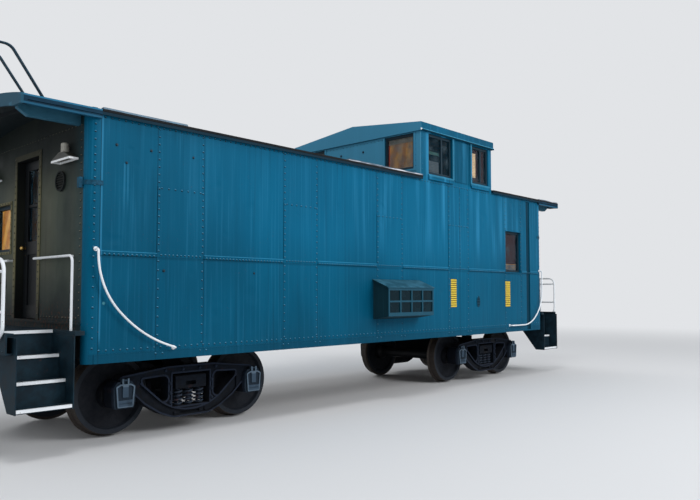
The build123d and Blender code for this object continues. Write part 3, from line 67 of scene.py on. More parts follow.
# The roofs
EAVE_Z = 3.267
ROOF_HALF_W = SIDE_Y + 0.04
ROOF_RISE = 0.15
ROOF_R = (ROOF_HALF_W**2 + ROOF_RISE**2) / (2 * ROOF_RISE)
STRAP_X = (-4.45, -3.4, -2.35, -1.3, -0.25, 3.4, 4.45)
STRAP_T = 0.005
CUPOLA_X = (0.74, 2.74)
CUPOLA_MID = 1.74
CUPOLA_TOP_Z = 3.95

# The trucks and the platforms
TRUCK_X = 3.08
AXLE_X = 0.838
WHEEL_Z = 0.419
COIL_X = 0.138
COIL_Y = 0.9775
COIL_Z = 0.247
END_SILL_X = 5.19
DECK_Z = 1.13
STEP_X = (4.60, 5.11)
STEP_Y = 0.93
STEP_GOING = 0.15
STEP_RISE = 0.225

# Windows: two places across or along the car, then their foot and their head
END_WINDOW = (0.45, 1.0, 1.96, 2.5)
SIDE_WINDOW = (3.195, 3.725, 1.87, 2.595)
CUPOLA_WINDOWS = ((0.935, 1.555, 3.33, 3.955), (2.118, 2.638, 3.33, 3.955))
CUPOLA_END_WINDOW = (0.675, 1.257, 3.4, CUPOLA_TOP_Z)
SASH_Y = 1.35
CUPOLA_SASH_Y = 1.37
REFLECTORS = ((1.504, 1.66, 1.27, 1.72), (3.176, 3.337, 1.257, 1.708))
DOOR_FACE_X = 4.415
KNOB_Y = 0.2365

# The side sheets' rivets: the corner columns and the seam, each column's span, and the level rows' heights
CORNER_X = 4.427
SEAM_X = 1.763
CORNER_LOW, CORNER_HIGH = (0.96, 1.84), (1.93, 3.2)
LOWER_SPAN, PLATE_SPAN, UPPER_SPAN = (0.965, 1.82), (1.925, 2.57), (2.64, 3.19)
BAND_ROW_Z, SILL_ROW_Z, EAVE_ROW_Z = 0.874, 0.936, 3.205
BELT_ROW_Z, PLATE_LOW_Z, PLATE_TOP_Z = 1.868, 1.883, 2.577

# The floor, and the camera as it was fitted to the photograph, in metres and degrees
FLOOR_Z = -0.026
CAMERA_AT = (-7.5291, -7.6482, 1.4781)
CAMERA_YAW, CAMERA_PITCH, CAMERA_SHIFT = 43.078, 2.836, 0.01463

# The soft lamps: place, target, width, and power as a share of the key light
LAMPS = {
    "key_lamp": ((3.0, -15.0, 9.5), (0, 0, 1.8), 9.0, 1.0),
    "fill_lamp": ((-14.0, -3.0, 6.0), (-1, 0, 1.8), 7.0, 0.1),
    "high_lamp": ((-6.0, -5.0, 14.0), (0, 0, 3.5), 4.0, 0.33),
    "back_lamp": ((2.0, 15.0, 9.0), (0, 0, 1.8), 9.0, 0.7),
}

SIDES = (("near", -1), ("far", 1))
ENDS = (("a", -1), ("b", 1))


def paint(red, green, blue):
    """A colour as a paint card gives it, 0 to 255, in the shader's own scale."""
    return tuple((c / 255 / 12.92) if c < 11 else ((c / 255 + 0.055) / 1.055) ** 2.4 for c in (red, green, blue))


def colour(name, about, red, green, blue):
    """A colour property with its default."""
    return FloatVectorProperty(
        name=name, description=about, subtype="COLOR", size=3, min=0, max=1, default=paint(red, green, blue)
    )


def length(name, about, default):
    """A length property in metres with its default."""
    return FloatProperty(name=name, description=about, default=default, min=0.0, unit="LENGTH", precision=4)


class CaboosePaints(PropertyGroup):
    """The paints and bare materials of the car."""

    teal: colour("Body teal", "Paint of the sides and the cupola", 0, 82, 112)
    # This pale teal also paints highlights beside the corner's lap and on the roof channels' lips
    teal_bleach_and_highlight: colour("Faded teal", "Sun-bleached streaks in the body paint", 50, 132, 172)
    teal_deep: colour("Deep teal", "Body paint where it is fresh or in the lee of a seam", 0, 68, 94)
    olive: colour("End olive", "Paint of the end walls", 68, 76, 65)
    jamb: colour("Jamb", "Paint of the frames round the end doors and windows", 104, 100, 72)
    roof: colour("Roof", "Roofing compound", 24, 28, 32)
    beam: colour("Roof beam", "Beams and arches under the roof's ends", 34, 78, 98)
    white: colour("Rail white", "Hand rails, grab irons and step edges", 230, 235, 240)
    deck: colour("Deck", "Platforms and steps", 10, 28, 38)
    black: colour("Frame black", "Underframe and brake gear", 14, 17, 20)
    casting: colour("Casting", "Truck castings", 8, 13, 20)
    lid: colour("Journal lid", "Dusty lids of the journal boxes", 62, 80, 97)
    rust: colour("Rust", "Rust at edges, seams and chips", 96, 52, 28)
    dust: colour("Dust", "Road dust on faces that look up", 128, 118, 104)
    yellow: colour("Reflector yellow", "Reflector bars on the sides", 216, 190, 48)
    amber: colour("Amber wood", "Varnished boards inside the windows", 226, 168, 84)
    cream: colour("Blind cream", "Blinds inside the windows", 206, 194, 160)


class CabooseFixings(PropertyGroup):
    """Sizes of the rivets and bolts."""

    rivet_d: length("Rivet diameter", "Width of a rivet's head on the body", 0.022)
    rivet_h: length("Rivet height", "How far a rivet's head stands out", 0.008)
    pitch_high: length("Upper pitch", "Distance between rivets above the belt", 0.0715)
    pitch_low: length("Lower pitch", "Distance between rivets below the belt", 0.089)
    pitch_sill: length("Sill pitch", "Distance between rivets along the sill", 0.074)
    pitch_belt: length("Belt pitch", "Distance between rivets along the belt", 0.045)
    bolt_d: length("Bolt width", "Width of a bolt's head on the trucks", 0.034)
    bolt_h: length("Bolt height", "Height of a bolt's head with its washer", 0.02)
    screw_d: length("Screw diameter", "Width of the screws round windows and doors", 0.011)
    wear: IntProperty(name="Seed", description="Seed of the small differences between heads", default=7, min=0)


class CabooseTrim(PropertyGroup):
    """Sizes of the strips, slats and treads."""

    nosing_h: length("Nosing height", "Height of the white strip on each step", 0.027)
    nosing_t: length("Nosing thickness", "Thickness of the white strip", 0.003)
    bars: IntProperty(name="Reflector bars", description="Bars in each reflector ladder", default=13, min=2)
    bar_h: length("Bar height", "Height of one reflector bar", 0.021)
    slat_pitch: length("Slat pitch", "Distance between the slats of a blind", 0.026)
    seam_w: length("Roof seam width", "Width of the straps over the roof's joints", 0.05)
    tread_pitch: length("Tread pitch", "Distance between the raised bars of the tread plate", 0.036)


class CabooseStage(PropertyGroup):
    """The floor, the lamps and the camera."""

    floor: colour("Floor", "Colour of the studio floor", 208, 209, 211)
    sky: colour("Backdrop", "Colour behind the car", 226, 228, 231)
    sky_light: FloatProperty(name="Sky strength", description="Strength of the even light", default=0.62, min=0)
    key_light: FloatProperty(
        name="Key light", description="Power of the large lamp", default=1500, min=0, unit="POWER"
    )
    focal: FloatProperty(name="Focal length", description="Lens of the camera", default=35.23, unit="CAMERA")


class Wire:
    """A node's socket. An expression on it adds the Math nodes that work it out."""

    def __init__(self, graph, socket):
        self.graph = graph
        self.socket = socket

    def maths(self, operation, *values):
        """Adds one Math node."""
        return self.graph.node("ShaderNodeMath", {"operation": operation}, dict(enumerate(values)))

    def __add__(self, other):
        return self.maths("ADD", self, other)

    def __radd__(self, other):
        return self.maths("ADD", other, self)

    def __sub__(self, other):
        return self.maths("SUBTRACT", self, other)

    def __rsub__(self, other):
        return self.maths("SUBTRACT", other, self)

    def __mul__(self, other):
        return self.maths("MULTIPLY", self, other)

    def __rmul__(self, other):
        return self.maths("MULTIPLY", other, self)

    def __pow__(self, other):
        return self.maths("POWER", self, other)

    def __neg__(self):
        return self.maths("MULTIPLY", self, -1.0)

    def __abs__(self):
        return self.maths("ABSOLUTE", self)

    def __mod__(self, other):
        return self.maths("FLOORED_MODULO", self, other)

    def larger(self, other):
        """The larger of the two."""
        return self.maths("MAXIMUM", self, other)

    def smaller(self, other):
        """The smaller of the two."""
        return self.maths("MINIMUM", self, other)


class Graph:
    """A node tree that is written one node at a time."""

    def __init__(self, tree):
        self.tree = tree

    def node(self, kind, settings=None, inputs=None, output=0):
        """Adds a node, makes its settings, feeds its sockets and returns one output, if it has any."""
        made = self.tree.nodes.new(kind)
        for key, value in (settings or {}).items():
            setattr(made, key, value)
        for key, value in (inputs or {}).items():
            self.feed(made.inputs[key], value)
        return Wire(self, made.outputs[output]) if made.outputs else None

    def feed(self, socket, value):
        """Links one wire or a list of them to a socket, or sets the socket's own value."""
        if isinstance(value, Wire):
            self.tree.links.new(value.socket, socket)
        elif isinstance(value, list):
            for wire in value:
                self.feed(socket, wire)
        elif socket.type == "RGBA" and len(value) == 3:
            socket.default_value = (*value, 1.0)
        else:
            socket.default_value = value


class Finish(Graph):
    """A material whose patterns are worked out from the place on the car."""

    def __init__(self, name, **plain):
        self.material = bpy.data.materials.new(name)
        self.material.use_nodes = True
        super().__init__(self.material.node_tree)
        self.shader = self.tree.nodes["Principled BSDF"]
        self.paints = bpy.context.scene.caboose_paints
        self.tone = None
        self.set(**plain)
        self.place = self.node("ShaderNodeTexCoord", output="Object")
        self.x, self.y, self.z = self.split(self.place)
        along, across, self.up = self.split(self.node("ShaderNodeTexCoord", output="Normal"))
        self.level = abs(along).larger(abs(across))

    def set(self, **values):
        """Feeds the shader's sockets, whose names have _ for each space."""
        for name, value in values.items():
            self.feed(self.shader.inputs[name.replace("_", " ")], value)

    def split(self, vector):
        """The three parts of a vector."""
        parts = self.node("ShaderNodeSeparateXYZ", None, {0: vector}).socket.node
        return [Wire(self, out) for out in parts.outputs]

    def moved(self, stretch=(1, 1, 1), shift=(0, 0, 0)):
        """The place, stretched and shifted, for a pattern with a grain."""
        return self.node("ShaderNodeMapping", None, {"Vector": self.place, "Location": shift, "Scale": stretch})

    def noise(self, scale, detail=2.0, stretch=(1, 1, 1), shift=(0, 0, 0), rough=0.5):
        """Soft noise from 0 to 1."""
        return self.node("ShaderNodeTexNoise", None, {
            "Vector": self.moved(stretch, shift), "Scale": scale, "Detail": detail, "Roughness": rough,
        })

    def fade(self, value, start, end):
        """0 before start and 1 after end, with a soft step between them."""
        settings = {"interpolation_type": "SMOOTHSTEP", "clamp": True}
        return self.node("ShaderNodeMapRange", settings, {"Value": value, "From Min": start, "From Max": end})

    def drop(self, value, start, end):
        """1 before start and 0 after end, with a soft step between them."""
        return 1 - self.fade(value, start, end)

    def line(self, value, centre, half, soft=0.002):
        """1 within half of the centre, and 0 elsewhere."""
        return self.drop(abs(value - centre), half, half + soft)

    def reach(self, a, b):
        """How far off a place is that is a one way and b the other."""
        return (a * a + b * b) ** 0.5

    def spot(self, x, z, radius, low=0.0):
        """1 at a place on the sides, and 0 from the radius on."""
        return self.drop(self.reach(self.x - x, self.z - z), low, radius)

    def blend(self, factor, a, b):
        """Colour b over colour a by the factor."""
        settings = {"data_type": "RGBA", "blend_type": "MIX", "clamp_factor": True}
        return self.node("ShaderNodeMix", settings, {0: factor, 6: a, 7: b}, 2)

    def coat(self, factor, colour):
        """Lays a colour over the tone so far, by the factor."""
        self.tone = self.blend(factor, self.tone, colour)

    def done(self, rough, height, depth, strength, **other):
        """Feeds the shader the tone, the roughness and a relief of depth metres, and returns the material."""
        relief = {"Height": height, "Distance": depth, "Strength": strength}
        self.set(Base_Color=self.tone, Roughness=rough, Normal=self.node("ShaderNodeBump", None, relief), **other)
        return self.material


class Pattern(Graph):
    """A geometry tree with named inputs that sets one thing along rows, or stacks slats."""

    def __init__(self, name, **sockets):
        super().__init__(bpy.data.node_groups.new(name, "GeometryNodeTree"))
        face = self.tree.interface
        for label, (kind, default) in sockets.items():
            made = face.new_socket(label.replace("_", " "), in_out="INPUT", socket_type=f"NodeSocket{kind}")
            if default is not None:
                made.default_value = default
        face.new_socket("Result", in_out="OUTPUT", socket_type="NodeSocketGeometry")

    def take(self, label):
        """The named input."""
        return self.node("NodeGroupInput", output=label)

    def give(self, shape):
        """Ends the tree: real geometry in the chosen finish."""
        real = self.node("GeometryNodeRealizeInstances", None, {"Geometry": shape})
        done = self.node("GeometryNodeSetMaterial", None, {"Geometry": real, "Material": self.take("Finish")})
        self.node("NodeGroupOutput", None, {0: done})

    def vector(self, x=0.0, y=0.0, z=0.0):
        """A vector of three numbers or wires."""
        return self.node("ShaderNodeCombineXYZ", None, {"X": x, "Y": y, "Z": z})

    def joined(self, *shapes):
        """Several shapes as one."""
        return self.node("GeometryNodeJoinGeometry", None, {0: list(shapes)})

    def smooth(self, shape):
        """The shape with smooth shading."""
        return self.node("GeometryNodeSetShadeSmooth", None, {"Geometry": shape})

    def along_rows(self, head, turn=None):
        """Sets the head on every row at the pitch, each facing out from its surface."""
        spaced = {"Curve": self.node("GeometryNodeMeshToCurve", None, {"Mesh": self.take("Rows")})}
        spaced["Length"] = self.take("Pitch")
        even = self.node("GeometryNodeResampleCurve", {"mode": "LENGTH"}, spaced)
        lone = 1 - self.node("GeometryNodeInputMeshVertexNeighbors").smaller(1.0)
        single = self.node("GeometryNodeMeshToPoints", None, {"Mesh": self.take("Rows"), "Selection": lone})
        places = self.joined(even, single)
        out = self.node("GeometryNodeInputNamedAttribute", {"data_type": "FLOAT_VECTOR"}, {"Name": "out"})
        face = self.node("FunctionNodeAlignRotationToVector", {"axis": "Z"}, {"Vector": out})
        if turn is not None:
            face = self.node("FunctionNodeRotateRotation", {"rotation_space": "LOCAL"}, {0: face, 1: turn})
        least, most = 0.9, 1.08
        chance = {2: least, 3: most, "Seed": self.take("Seed")}
        size = self.node("FunctionNodeRandomValue", {"data_type": "FLOAT"}, chance, 1)
        inputs = {"Points": places, "Instance": head, "Rotation": face, "Scale": self.vector(size, size, size)}
        self.give(self.node("GeometryNodeInstanceOnPoints", None, inputs))


def head_pattern(name, pitch, diameter, height):
    """The start of a tree that sets heads along rows."""
    return Pattern(
        name, Rows=("Geometry", None), Pitch=("Float", pitch), Diameter=("Float", diameter),
        Height=("Float", height), Seed=("Int", 0), Finish=("Material", None),
    )


def rivet_pattern():
    """Low domed heads along rows."""
    p = head_pattern("rivets", 0.07, 0.02, 0.006)
    ball = p.node("GeometryNodeMeshUVSphere", None, {"Segments": 9, "Rings": 4, "Radius": 1.0})
    half = p.take("Diameter") * 0.5
    flat = {"Geometry": ball, "Scale": p.vector(half, half, p.take("Height"))}
    p.along_rows(p.smooth(p.node("GeometryNodeTransform", None, flat)))
    return p.tree


def bolt_pattern():
    """A round washer with a chamfered hexagon head, along rows."""
    p = head_pattern("bolts", 0.1, 0.034, 0.02)
    across = p.take("Diameter") * 0.5
    tall = p.take("Height")
    layers = []
    # Sides, width below and above, share of the height, and middle as a part of it
    washer, hexagon, chamfer = (12, 1.3, 1.22, 0.3, -0.1), (6, 1.0, 1.0, 0.55, 0.2), (6, 1.0, 0.8, 0.2, 0.75)
    for sides, low, high, share, base in (washer, hexagon, chamfer):
        layer = p.node("GeometryNodeMeshCone", None, {
            "Vertices": sides, "Radius Top": across * high, "Radius Bottom": across * low, "Depth": tall * share,
        })
        lift = p.vector(z=tall * base)
        layers.append(p.node("GeometryNodeTransform", None, {"Geometry": layer, "Translation": lift}))
    p.along_rows(p.joined(*layers))
    return p.tree


def tread_pattern():
    """Raised bars that lean left and right in turn, as on tread plate."""
    p = head_pattern("tread", 0.036, 0.026, 0.0018)
    long = p.take("Diameter")
    cone = {"Vertices": 6, "Radius Top": 0.3, "Radius Bottom": 0.5, "Depth": 1.0}
    cone = p.node("GeometryNodeMeshCone", None, cone)
    flat = {"Geometry": cone, "Scale": p.vector(long, long * 0.34, p.take("Height"))}
    bar = p.node("GeometryNodeTransform", None, flat)
    odd = p.node("GeometryNodeInputIndex") % 2.0
    lean = p.node("FunctionNodeEulerToRotation", None, {0: p.vector(z=odd * (pi / 2) + pi / 4)})
    p.along_rows(bar, lean)
    return p.tree


def coil_pattern():
    """One coil spring, round wire, at each of its places."""
    p = Pattern(
        "coils", Rows=("Geometry", None), Radius=("Float", 0.034), Height=("Float", 0.18), Turns=("Float", 7.0),
        Wire=("Float", 0.007), Finish=("Material", None),
    )
    radius = p.take("Radius")
    turn = p.node("GeometryNodeCurveSpiral", None, {
        "Resolution": 18, "Rotations": p.take("Turns"), "Start Radius": radius, "End Radius": radius,
        "Height": p.take("Height"),
    })
    ring = p.node("GeometryNodeCurvePrimitiveCircle", None, {"Resolution": 6, "Radius": p.take("Wire")})
    tube = p.node("GeometryNodeCurveToMesh", None, {"Curve": turn, "Profile Curve": ring, "Fill Caps": True})
    places = p.node("GeometryNodeMeshToPoints", None, {"Mesh": p.take("Rows")})
    p.give(p.node("GeometryNodeInstanceOnPoints", None, {"Points": places, "Instance": p.smooth(tube)}))
    return p.tree


def slat_pattern():
    """A stack of thin curved slats or bars, one above the other."""
    p = Pattern(
        "slats", Count=("Int", 10), Pitch=("Float", 0.026), Size=("Vector", (0.5, 0.003, 0.02)),
        Start=("Vector", (0, 0, 0)), Tilt=("Vector", (0, 0, 0)), Finish=("Material", None),
    )
    line = p.node("GeometryNodeMeshLine", None, {
        "Count": p.take("Count"), "Start Location": p.take("Start"), "Offset": p.vector(z=p.take("Pitch")),
    })
    cube = p.node("GeometryNodeMeshCube", None, {"Size": p.take("Size")})
    tilt = p.node("FunctionNodeEulerToRotation", None, {0: p.take("Tilt")})
    p.give(p.node("GeometryNodeInstanceOnPoints", None, {"Points": line, "Instance": cube, "Rotation": tilt}))
    return p.tree


def grown(name, tree, values, start=None):
    """A new object whose mesh is what the tree makes of a starting mesh, as plain geometry."""
    start = start or bpy.data.meshes.new(name)
    piece = bpy.data.objects.new(name, start)
    bpy.context.scene.collection.objects.link(piece)
    modifier = piece.modifiers.new("pattern", "NODES")
    modifier.node_group = tree
    for item in tree.interface.items_tree:
        if item.in_out == "INPUT" and item.name in values:
            modifier[item.identifier] = values[item.name]
    graph = bpy.context.evaluated_depsgraph_get()
    mesh = bpy.data.meshes.new_from_object(piece.evaluated_get(graph), depsgraph=graph)
    piece.modifiers.clear()
    piece.data = mesh
    bpy.data.meshes.remove(start)
    mesh.name = name
    if not mesh.polygons:
        raise RuntimeError(f"{name} has no faces")
    return piece


class Rows:
    """Lines that fixings are set along, each with the way that its surface faces."""

    def __init__(self):
        self.points, self.edges, self.out = [], [], []

    def run(self, *points, out):
        """One line through the points, which face out, or each its own way from a list of them."""
        first = len(self.points)
        self.points += points
        self.out += out if isinstance(out, list) else [out] * len(points)
        self.edges += [(first + n, first + n + 1) for n in range(len(points) - 1)]

    def spots(self, points, out):
        """Single places, one head each."""
        for point in points:
            self.run(point, out=out)

    def mesh(self, name):
        """The lines as a mesh, with the ways that they face as an attribute."""
        made = bpy.data.meshes.new(name)
        made.from_pydata(self.points, self.edges, [])
        faces = made.attributes.new("out", "FLOAT_VECTOR", "POINT")
        for item, out in zip(faces.data, self.out):
            item.vector = out
        return made


class Shape:
    """A mesh that is put together from bars and strips."""

    def __init__(self):
        self.bm = bmesh.new()

    def bar(self, low, high, edge=0.001):
        """A bar between two corners, with eased edges."""
        low, high = Vector(map(min, low, high)), Vector(map(max, low, high))
        place = Matrix.Translation((low + high) / 2) @ Matrix.Diagonal((*(high - low), 1))
        made = bmesh.ops.create_cube(self.bm, size=1.0, matrix=place)["verts"]
        edges = list({e for v in made for e in v.link_edges})
        edge = min(edge, min(high - low) * 0.4)
        bmesh.ops.bevel(self.bm, geom=edges, offset=edge, segments=2, affect="EDGES", profile=0.7)

    def strip(self, outlines):
        """Skins a row of outlines, each a ring of points, and closes its ends."""
        rings = [[self.bm.verts.new(point) for point in outline] for outline in outlines]
        for a, b in zip(rings, rings[1:]):
            for n in range(len(a)):
                m = (n + 1) % len(a)
                self.bm.faces.new((a[n], a[m], b[m], b[n]))
        self.bm.faces.new(rings[0][::-1])
        self.bm.faces.new(rings[-1])

    def done(self, name, look, slot, body="car_body"):
        """Makes the piece, gives it its finish and sets it on its body."""
        bmesh.ops.recalc_face_normals(self.bm, faces=self.bm.faces)
        mesh = bpy.data.meshes.new(name)
        self.bm.to_mesh(mesh)
        self.bm.free()
        piece = bpy.data.objects.new(name, mesh)
        bpy.context.scene.collection.objects.link(piece)
        mesh.materials.append(finish(look))
        return settle(piece, body)


def settle(piece, body="car_body"):
    """Sets a finished piece on its body."""
    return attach(piece, body)


def rows_piece(name, rows, tree, look, slot, body="car_body", **values):
    """Fixings along rows, as one mesh on one body."""
    values = {"Finish": finish(look), "Seed": bpy.context.scene.caboose_fixings.wear, **values}
    return settle(grown(name, tree, values, rows.mesh(name)), body)


# Every finish that has been made, by its name
made_finishes = {}


def finish(name):
    """The material of that name, made when it is first asked for."""
    if name not in made_finishes:
        make, *values = FINISHES[name]
        made_finishes[name] = make(name, *values)
    return made_finishes[name]


def grime(f, low, strength):
    """Coats what looks up with dust, and what is near the rails with splashes."""
    dusty = f.fade(f.up, 0.55, 0.95) * f.noise(9, 4)
    f.coat(dusty * strength * 1.6, f.paints.dust)
    splash = f.drop(f.z, low, low + 0.5) * f.noise(14, 5, rough=0.65)
    f.coat(splash * strength, f.paints.dust)


def teal_paint(name):
    """Old teal on riveted sheet: bleached streaks, run-down dirt, rusty seams and dents, with painted sheen,
    highlights and shade.
    """
    f = Finish(name, IOR=1.5, Specular_IOR_Level=0.05)
    close = f.drop(f.y, -1.3, -1.2)
    wall = f.fade(abs(f.y), SIDE_Y - 0.02, SIDE_Y - 0.01)
    broad = f.noise(0.7, 3, (1, 1, 0.6))
    f.tone = f.blend(f.fade(broad, 0.3, 0.65), f.paints.teal_deep, f.paints.teal)
    # Bleached and dark streaks, stronger above the belt and past the middle, and a broad painted sheen
    above = f.fade(f.z, 1.9, 2.6)
    middle = f.fade(f.x, -1.9, 0.6) * 0.85 + 0.15
    wide = f.fade(f.noise(1, 3, (7, 7, 0.3), (3, 0, 0)), 0.5, 0.74)
    narrow = f.fade(f.noise(1, 4, (38, 38, 0.7), (0, 0, 5)), 0.5, 0.8)
    f.coat(wide * above * middle * 0.75, f.paints.teal_bleach_and_highlight)
    f.coat(narrow * (above * middle * 0.3 + 0.2), f.paints.teal_bleach_and_highlight)
    # A broad painted sheen, lighter past the middle and above the belt, weaker at the far end
    broad_sheen = f.fade(f.x, -3.9, -1.4) * f.fade(f.z + 0.3 * broad, 1.7, 2.5) * (1 - 0.5 * f.fade(f.x, 1.5, 4.0))
    f.coat(broad_sheen * f.drop(f.z, 3.25, 3.3) * 0.4, paint(8, 106, 146))
    # Dark dirt streaks, deepened towards the eave as painted shade under the roof's edge
    dark = f.fade(f.noise(1, 4, (22, 22, 0.5), (9, 4, 0)), 0.52, 0.85)
    f.coat(dark * (0.3 + 0.3 * f.fade(f.z, 2.9, 3.25)), paint(2, 44, 64))
    for x in (-4.118, -4.082):
        tear = f.line(f.x, x, 0.004, 0.012) * f.fade(f.z, 2.2, 2.6) * f.drop(f.z, 2.77, 2.79)
        f.coat(tear * close * 0.28, f.paints.teal_bleach_and_highlight)
    # Seams between the sheets as dark joints; painted highlights on the belt and beside the corner's lap; painted
    # shade on undersides and below the belt and sill
    seams = f.line(f.x, -4.368, 0.003) + f.line(f.x, SEAM_X, 0.003)
    for bay in BAY_X:
        seams = f.line(abs(f.x - bay), BAY_HALF + 0.0015, 0.0025) + seams
    seams = seams * wall
    f.coat(seams * 0.7, paint(2, 36, 52))
    # A painted highlight beside the corner's lap, standing in for a step in the sheet
    lap = f.line(f.x, -4.356, 0.006, 0.006) * f.fade(f.z, 0.95, 1.1) * wall
    f.coat(lap * 0.5, f.paints.teal_bleach_and_highlight)
    # Painted highlights on the belt's top edge and on faces that look up; painted shade on faces that look down
    belt = f.line(f.z, 1.903, 0.006, 0.004) * f.fade(abs(f.y), 1.3955, 1.3965)
    f.coat(f.fade(f.up, 0.5, 0.9) * 0.5 + belt * 0.6, paint(60, 146, 186))
    f.coat(f.fade(-f.up, 0.4, 0.9) * 0.6, paint(2, 26, 38))
    shade = f.line(f.z, 1.845, 0.006, 0.012) + f.line(f.z, 0.897, 0.004, 0.008)
    f.coat(shade * wall * 0.2, paint(0, 40, 56))
    sill = f.drop(f.z, 0.89, 0.902) * wall
    f.coat(sill * 0.45, paint(6, 58, 80))
    # The groove between the body and its rounded corner, darkened as painted shade, and the small oval cover
    groove = f.line(abs(f.x), 4.0, 0.068) * f.drop(abs(f.y), 1.379, 1.388) * f.fade(abs(f.y), 1.34, 1.35)
    f.coat(groove * 0.8, paint(2, 34, 48))
    lid = f.drop(f.reach((f.x - 2.297) * 1.9, f.z - 1.354), 0.088, 0.094)
    proud = lid * close * f.fade(abs(f.y), 1.391, 1.393)
    rings = f.line(f.z % 0.045, 0.0225, 0.006, 0.006)
    f.coat(proud * 0.9, f.blend(rings * 0.6, paint(8, 32, 44), paint(30, 70, 88)))
    # The cupola's posts, painted lighter as highlights, and its ends, painted lighter for the light that falls on
    # them
    cupola = f.fade(f.z, 3.28, 3.3)
    # Painted highlights on the proud posts
    posts = f.fade(abs(f.y), 1.4083, 1.4093) * cupola
    f.coat(posts * 0.35, paint(70, 146, 178))
    # Painted light on the cupola's ends
    cupola_end = f.fade(abs(f.x - CUPOLA_MID), 0.993, 0.997) * cupola
    f.coat(cupola_end * 0.85, paint(66, 134, 166))
    # Rust, a bare place, mud along the bottom, and the cream walls inside
    specks = f.fade(f.noise(55, 3), 0.67, 0.73) * f.fade(f.noise(2.2, 2), 0.5, 0.65)
    rusty = specks * (0.35 + seams)
    f.coat(rusty * 0.7, f.paints.rust)
    f.coat(f.spot(-4.316, 1.39, 0.022, 0.006) * close * 0.6, paint(90, 160, 170))
    splash = f.drop(f.z, 0.82, 1.35) * f.noise(12, 5, (1, 1, 0.4), rough=0.65)
    f.coat(splash * 0.25, paint(22, 66, 84))
    inside = f.drop(abs(f.y), 1.305, 1.309) * f.drop(abs(f.x), 4.34, 4.36) * (1 - cupola_end)
    f.coat(inside * f.fade(3.2 - f.z, 0, 0.02), f.paints.cream)
    # Sheets that bulge between their seams, and dents
    pans = f.noise(1, 2, (2.6, 2.6, 0.55), (0, 0, 2))
    dents = f.fade(f.noise(1, 1, (3.1, 3.1, 3.1), (5, 0, 1)), 0.66, 0.8)
    knock = (f.spot(-2.504, 1.47, 0.13) + f.spot(-3.0, 1.24, 0.1) * 0.6) * close
    relief = pans - dents * 0.35 - knock * 0.5 + f.noise(120, 2) * 0.01
    return f.done(0.4 + 0.2 * f.noise(3, 4, (1, 1, 0.3)) + rusty * 0.3, relief, 0.022, 0.6)


def rivet_heads(name, low, high):
    """Painted rivet heads, lighter on top as a painted highlight, with painted shade below and a painted contact
    shadow round the rim.
    """
    f = Finish(name, IOR=1.5, Specular_IOR_Level=0.25)
    patch = f.noise(9, 3)
    # Painted highlight on the top, painted shade below
    f.tone = f.blend(f.fade(f.up, -0.45, 0.6), low, f.blend(patch * 0.5, high, low))
    # A painted contact shadow round the rim
    rim = f.drop(f.level, 0.35, 0.75) * f.drop(f.up, 0.1, 0.5)
    f.coat(rim * 0.6, paint(2, 16, 22))
    return f.done(0.4 + 0.2 * patch, patch, 0.001, 0.3)


def cover_paint(name):
    """Dark green-black of the cover box, with a dusty lid and bars that are lighter on their fronts."""
    f = Finish(name, IOR=1.5, Specular_IOR_Level=0.2)
    patch = f.noise(6, 4, (1, 1, 0.5))
    f.tone = f.blend(patch, paint(6, 34, 42), paint(14, 50, 60))
    # The bars' front faces are coloured lighter
    bars = f.drop(f.y, -1.664, -1.660)
    f.coat(bars * 0.8, paint(14, 74, 96))
    lid = f.fade(f.up, 0.3, 0.6)
    dusty = f.blend(f.fade(f.noise(9, 5), 0.3, 0.7), paint(18, 64, 80), paint(48, 96, 116))
    f.coat(lid, dusty)
    runs = f.fade(f.noise(1, 4, (40, 40, 1.0)), 0.55, 0.8)
    f.coat(runs * (1 - lid) * 0.4, paint(40, 86, 100))
    return f.done(0.45 + 0.2 * patch, patch + f.noise(90, 2) * 0.05, 0.003, 0.5)


def cupola_top(name):
    """The cupola's roof: a teal fascia with painted light on its ends, a gutter with a painted highlight on top and
    painted shade below, and dark compound on top.
    """
    f = Finish(name, IOR=1.5, Specular_IOR_Level=0.08)
    patch = f.noise(1.6, 4)
    f.tone = f.blend(f.fade(patch, 0.3, 0.7), f.paints.teal_deep, f.paints.teal)
    drip = f.fade(f.noise(1, 3, (26, 26, 1.2)), 0.5, 0.8)
    f.coat(drip * 0.4, f.paints.teal_bleach_and_highlight)
    top = f.fade(f.up, 0.6, 0.8)
    felt = f.blend(f.fade(f.noise(2.4, 5, (1, 2.2, 1)), 0.3, 0.75), f.paints.roof, paint(46, 51, 55))
    f.coat(top, felt)
    # Painted light on the fascia's ends
    ends = f.fade(abs(f.x - CUPOLA_MID), 1.024, 1.028) * (1 - top)
    f.coat(ends * 0.85, paint(62, 130, 162))
    # The gutter: a painted highlight on top, painted shade below
    gutter = f.fade(abs(f.y), 1.4212, 1.4222)
    f.coat(gutter, f.blend(f.fade(f.up, -0.2, 0.7), paint(2, 50, 68), paint(66, 146, 178)))
    caps = f.fade(abs(f.x - CUPOLA_MID), 1.03, 1.032) * gutter
    f.coat(caps, f.paints.white)
    return f.done(0.42 + 0.4 * top + 0.15 * patch, patch * 0.5 + f.noise(70, 3) * 0.08, 0.008, 0.5)


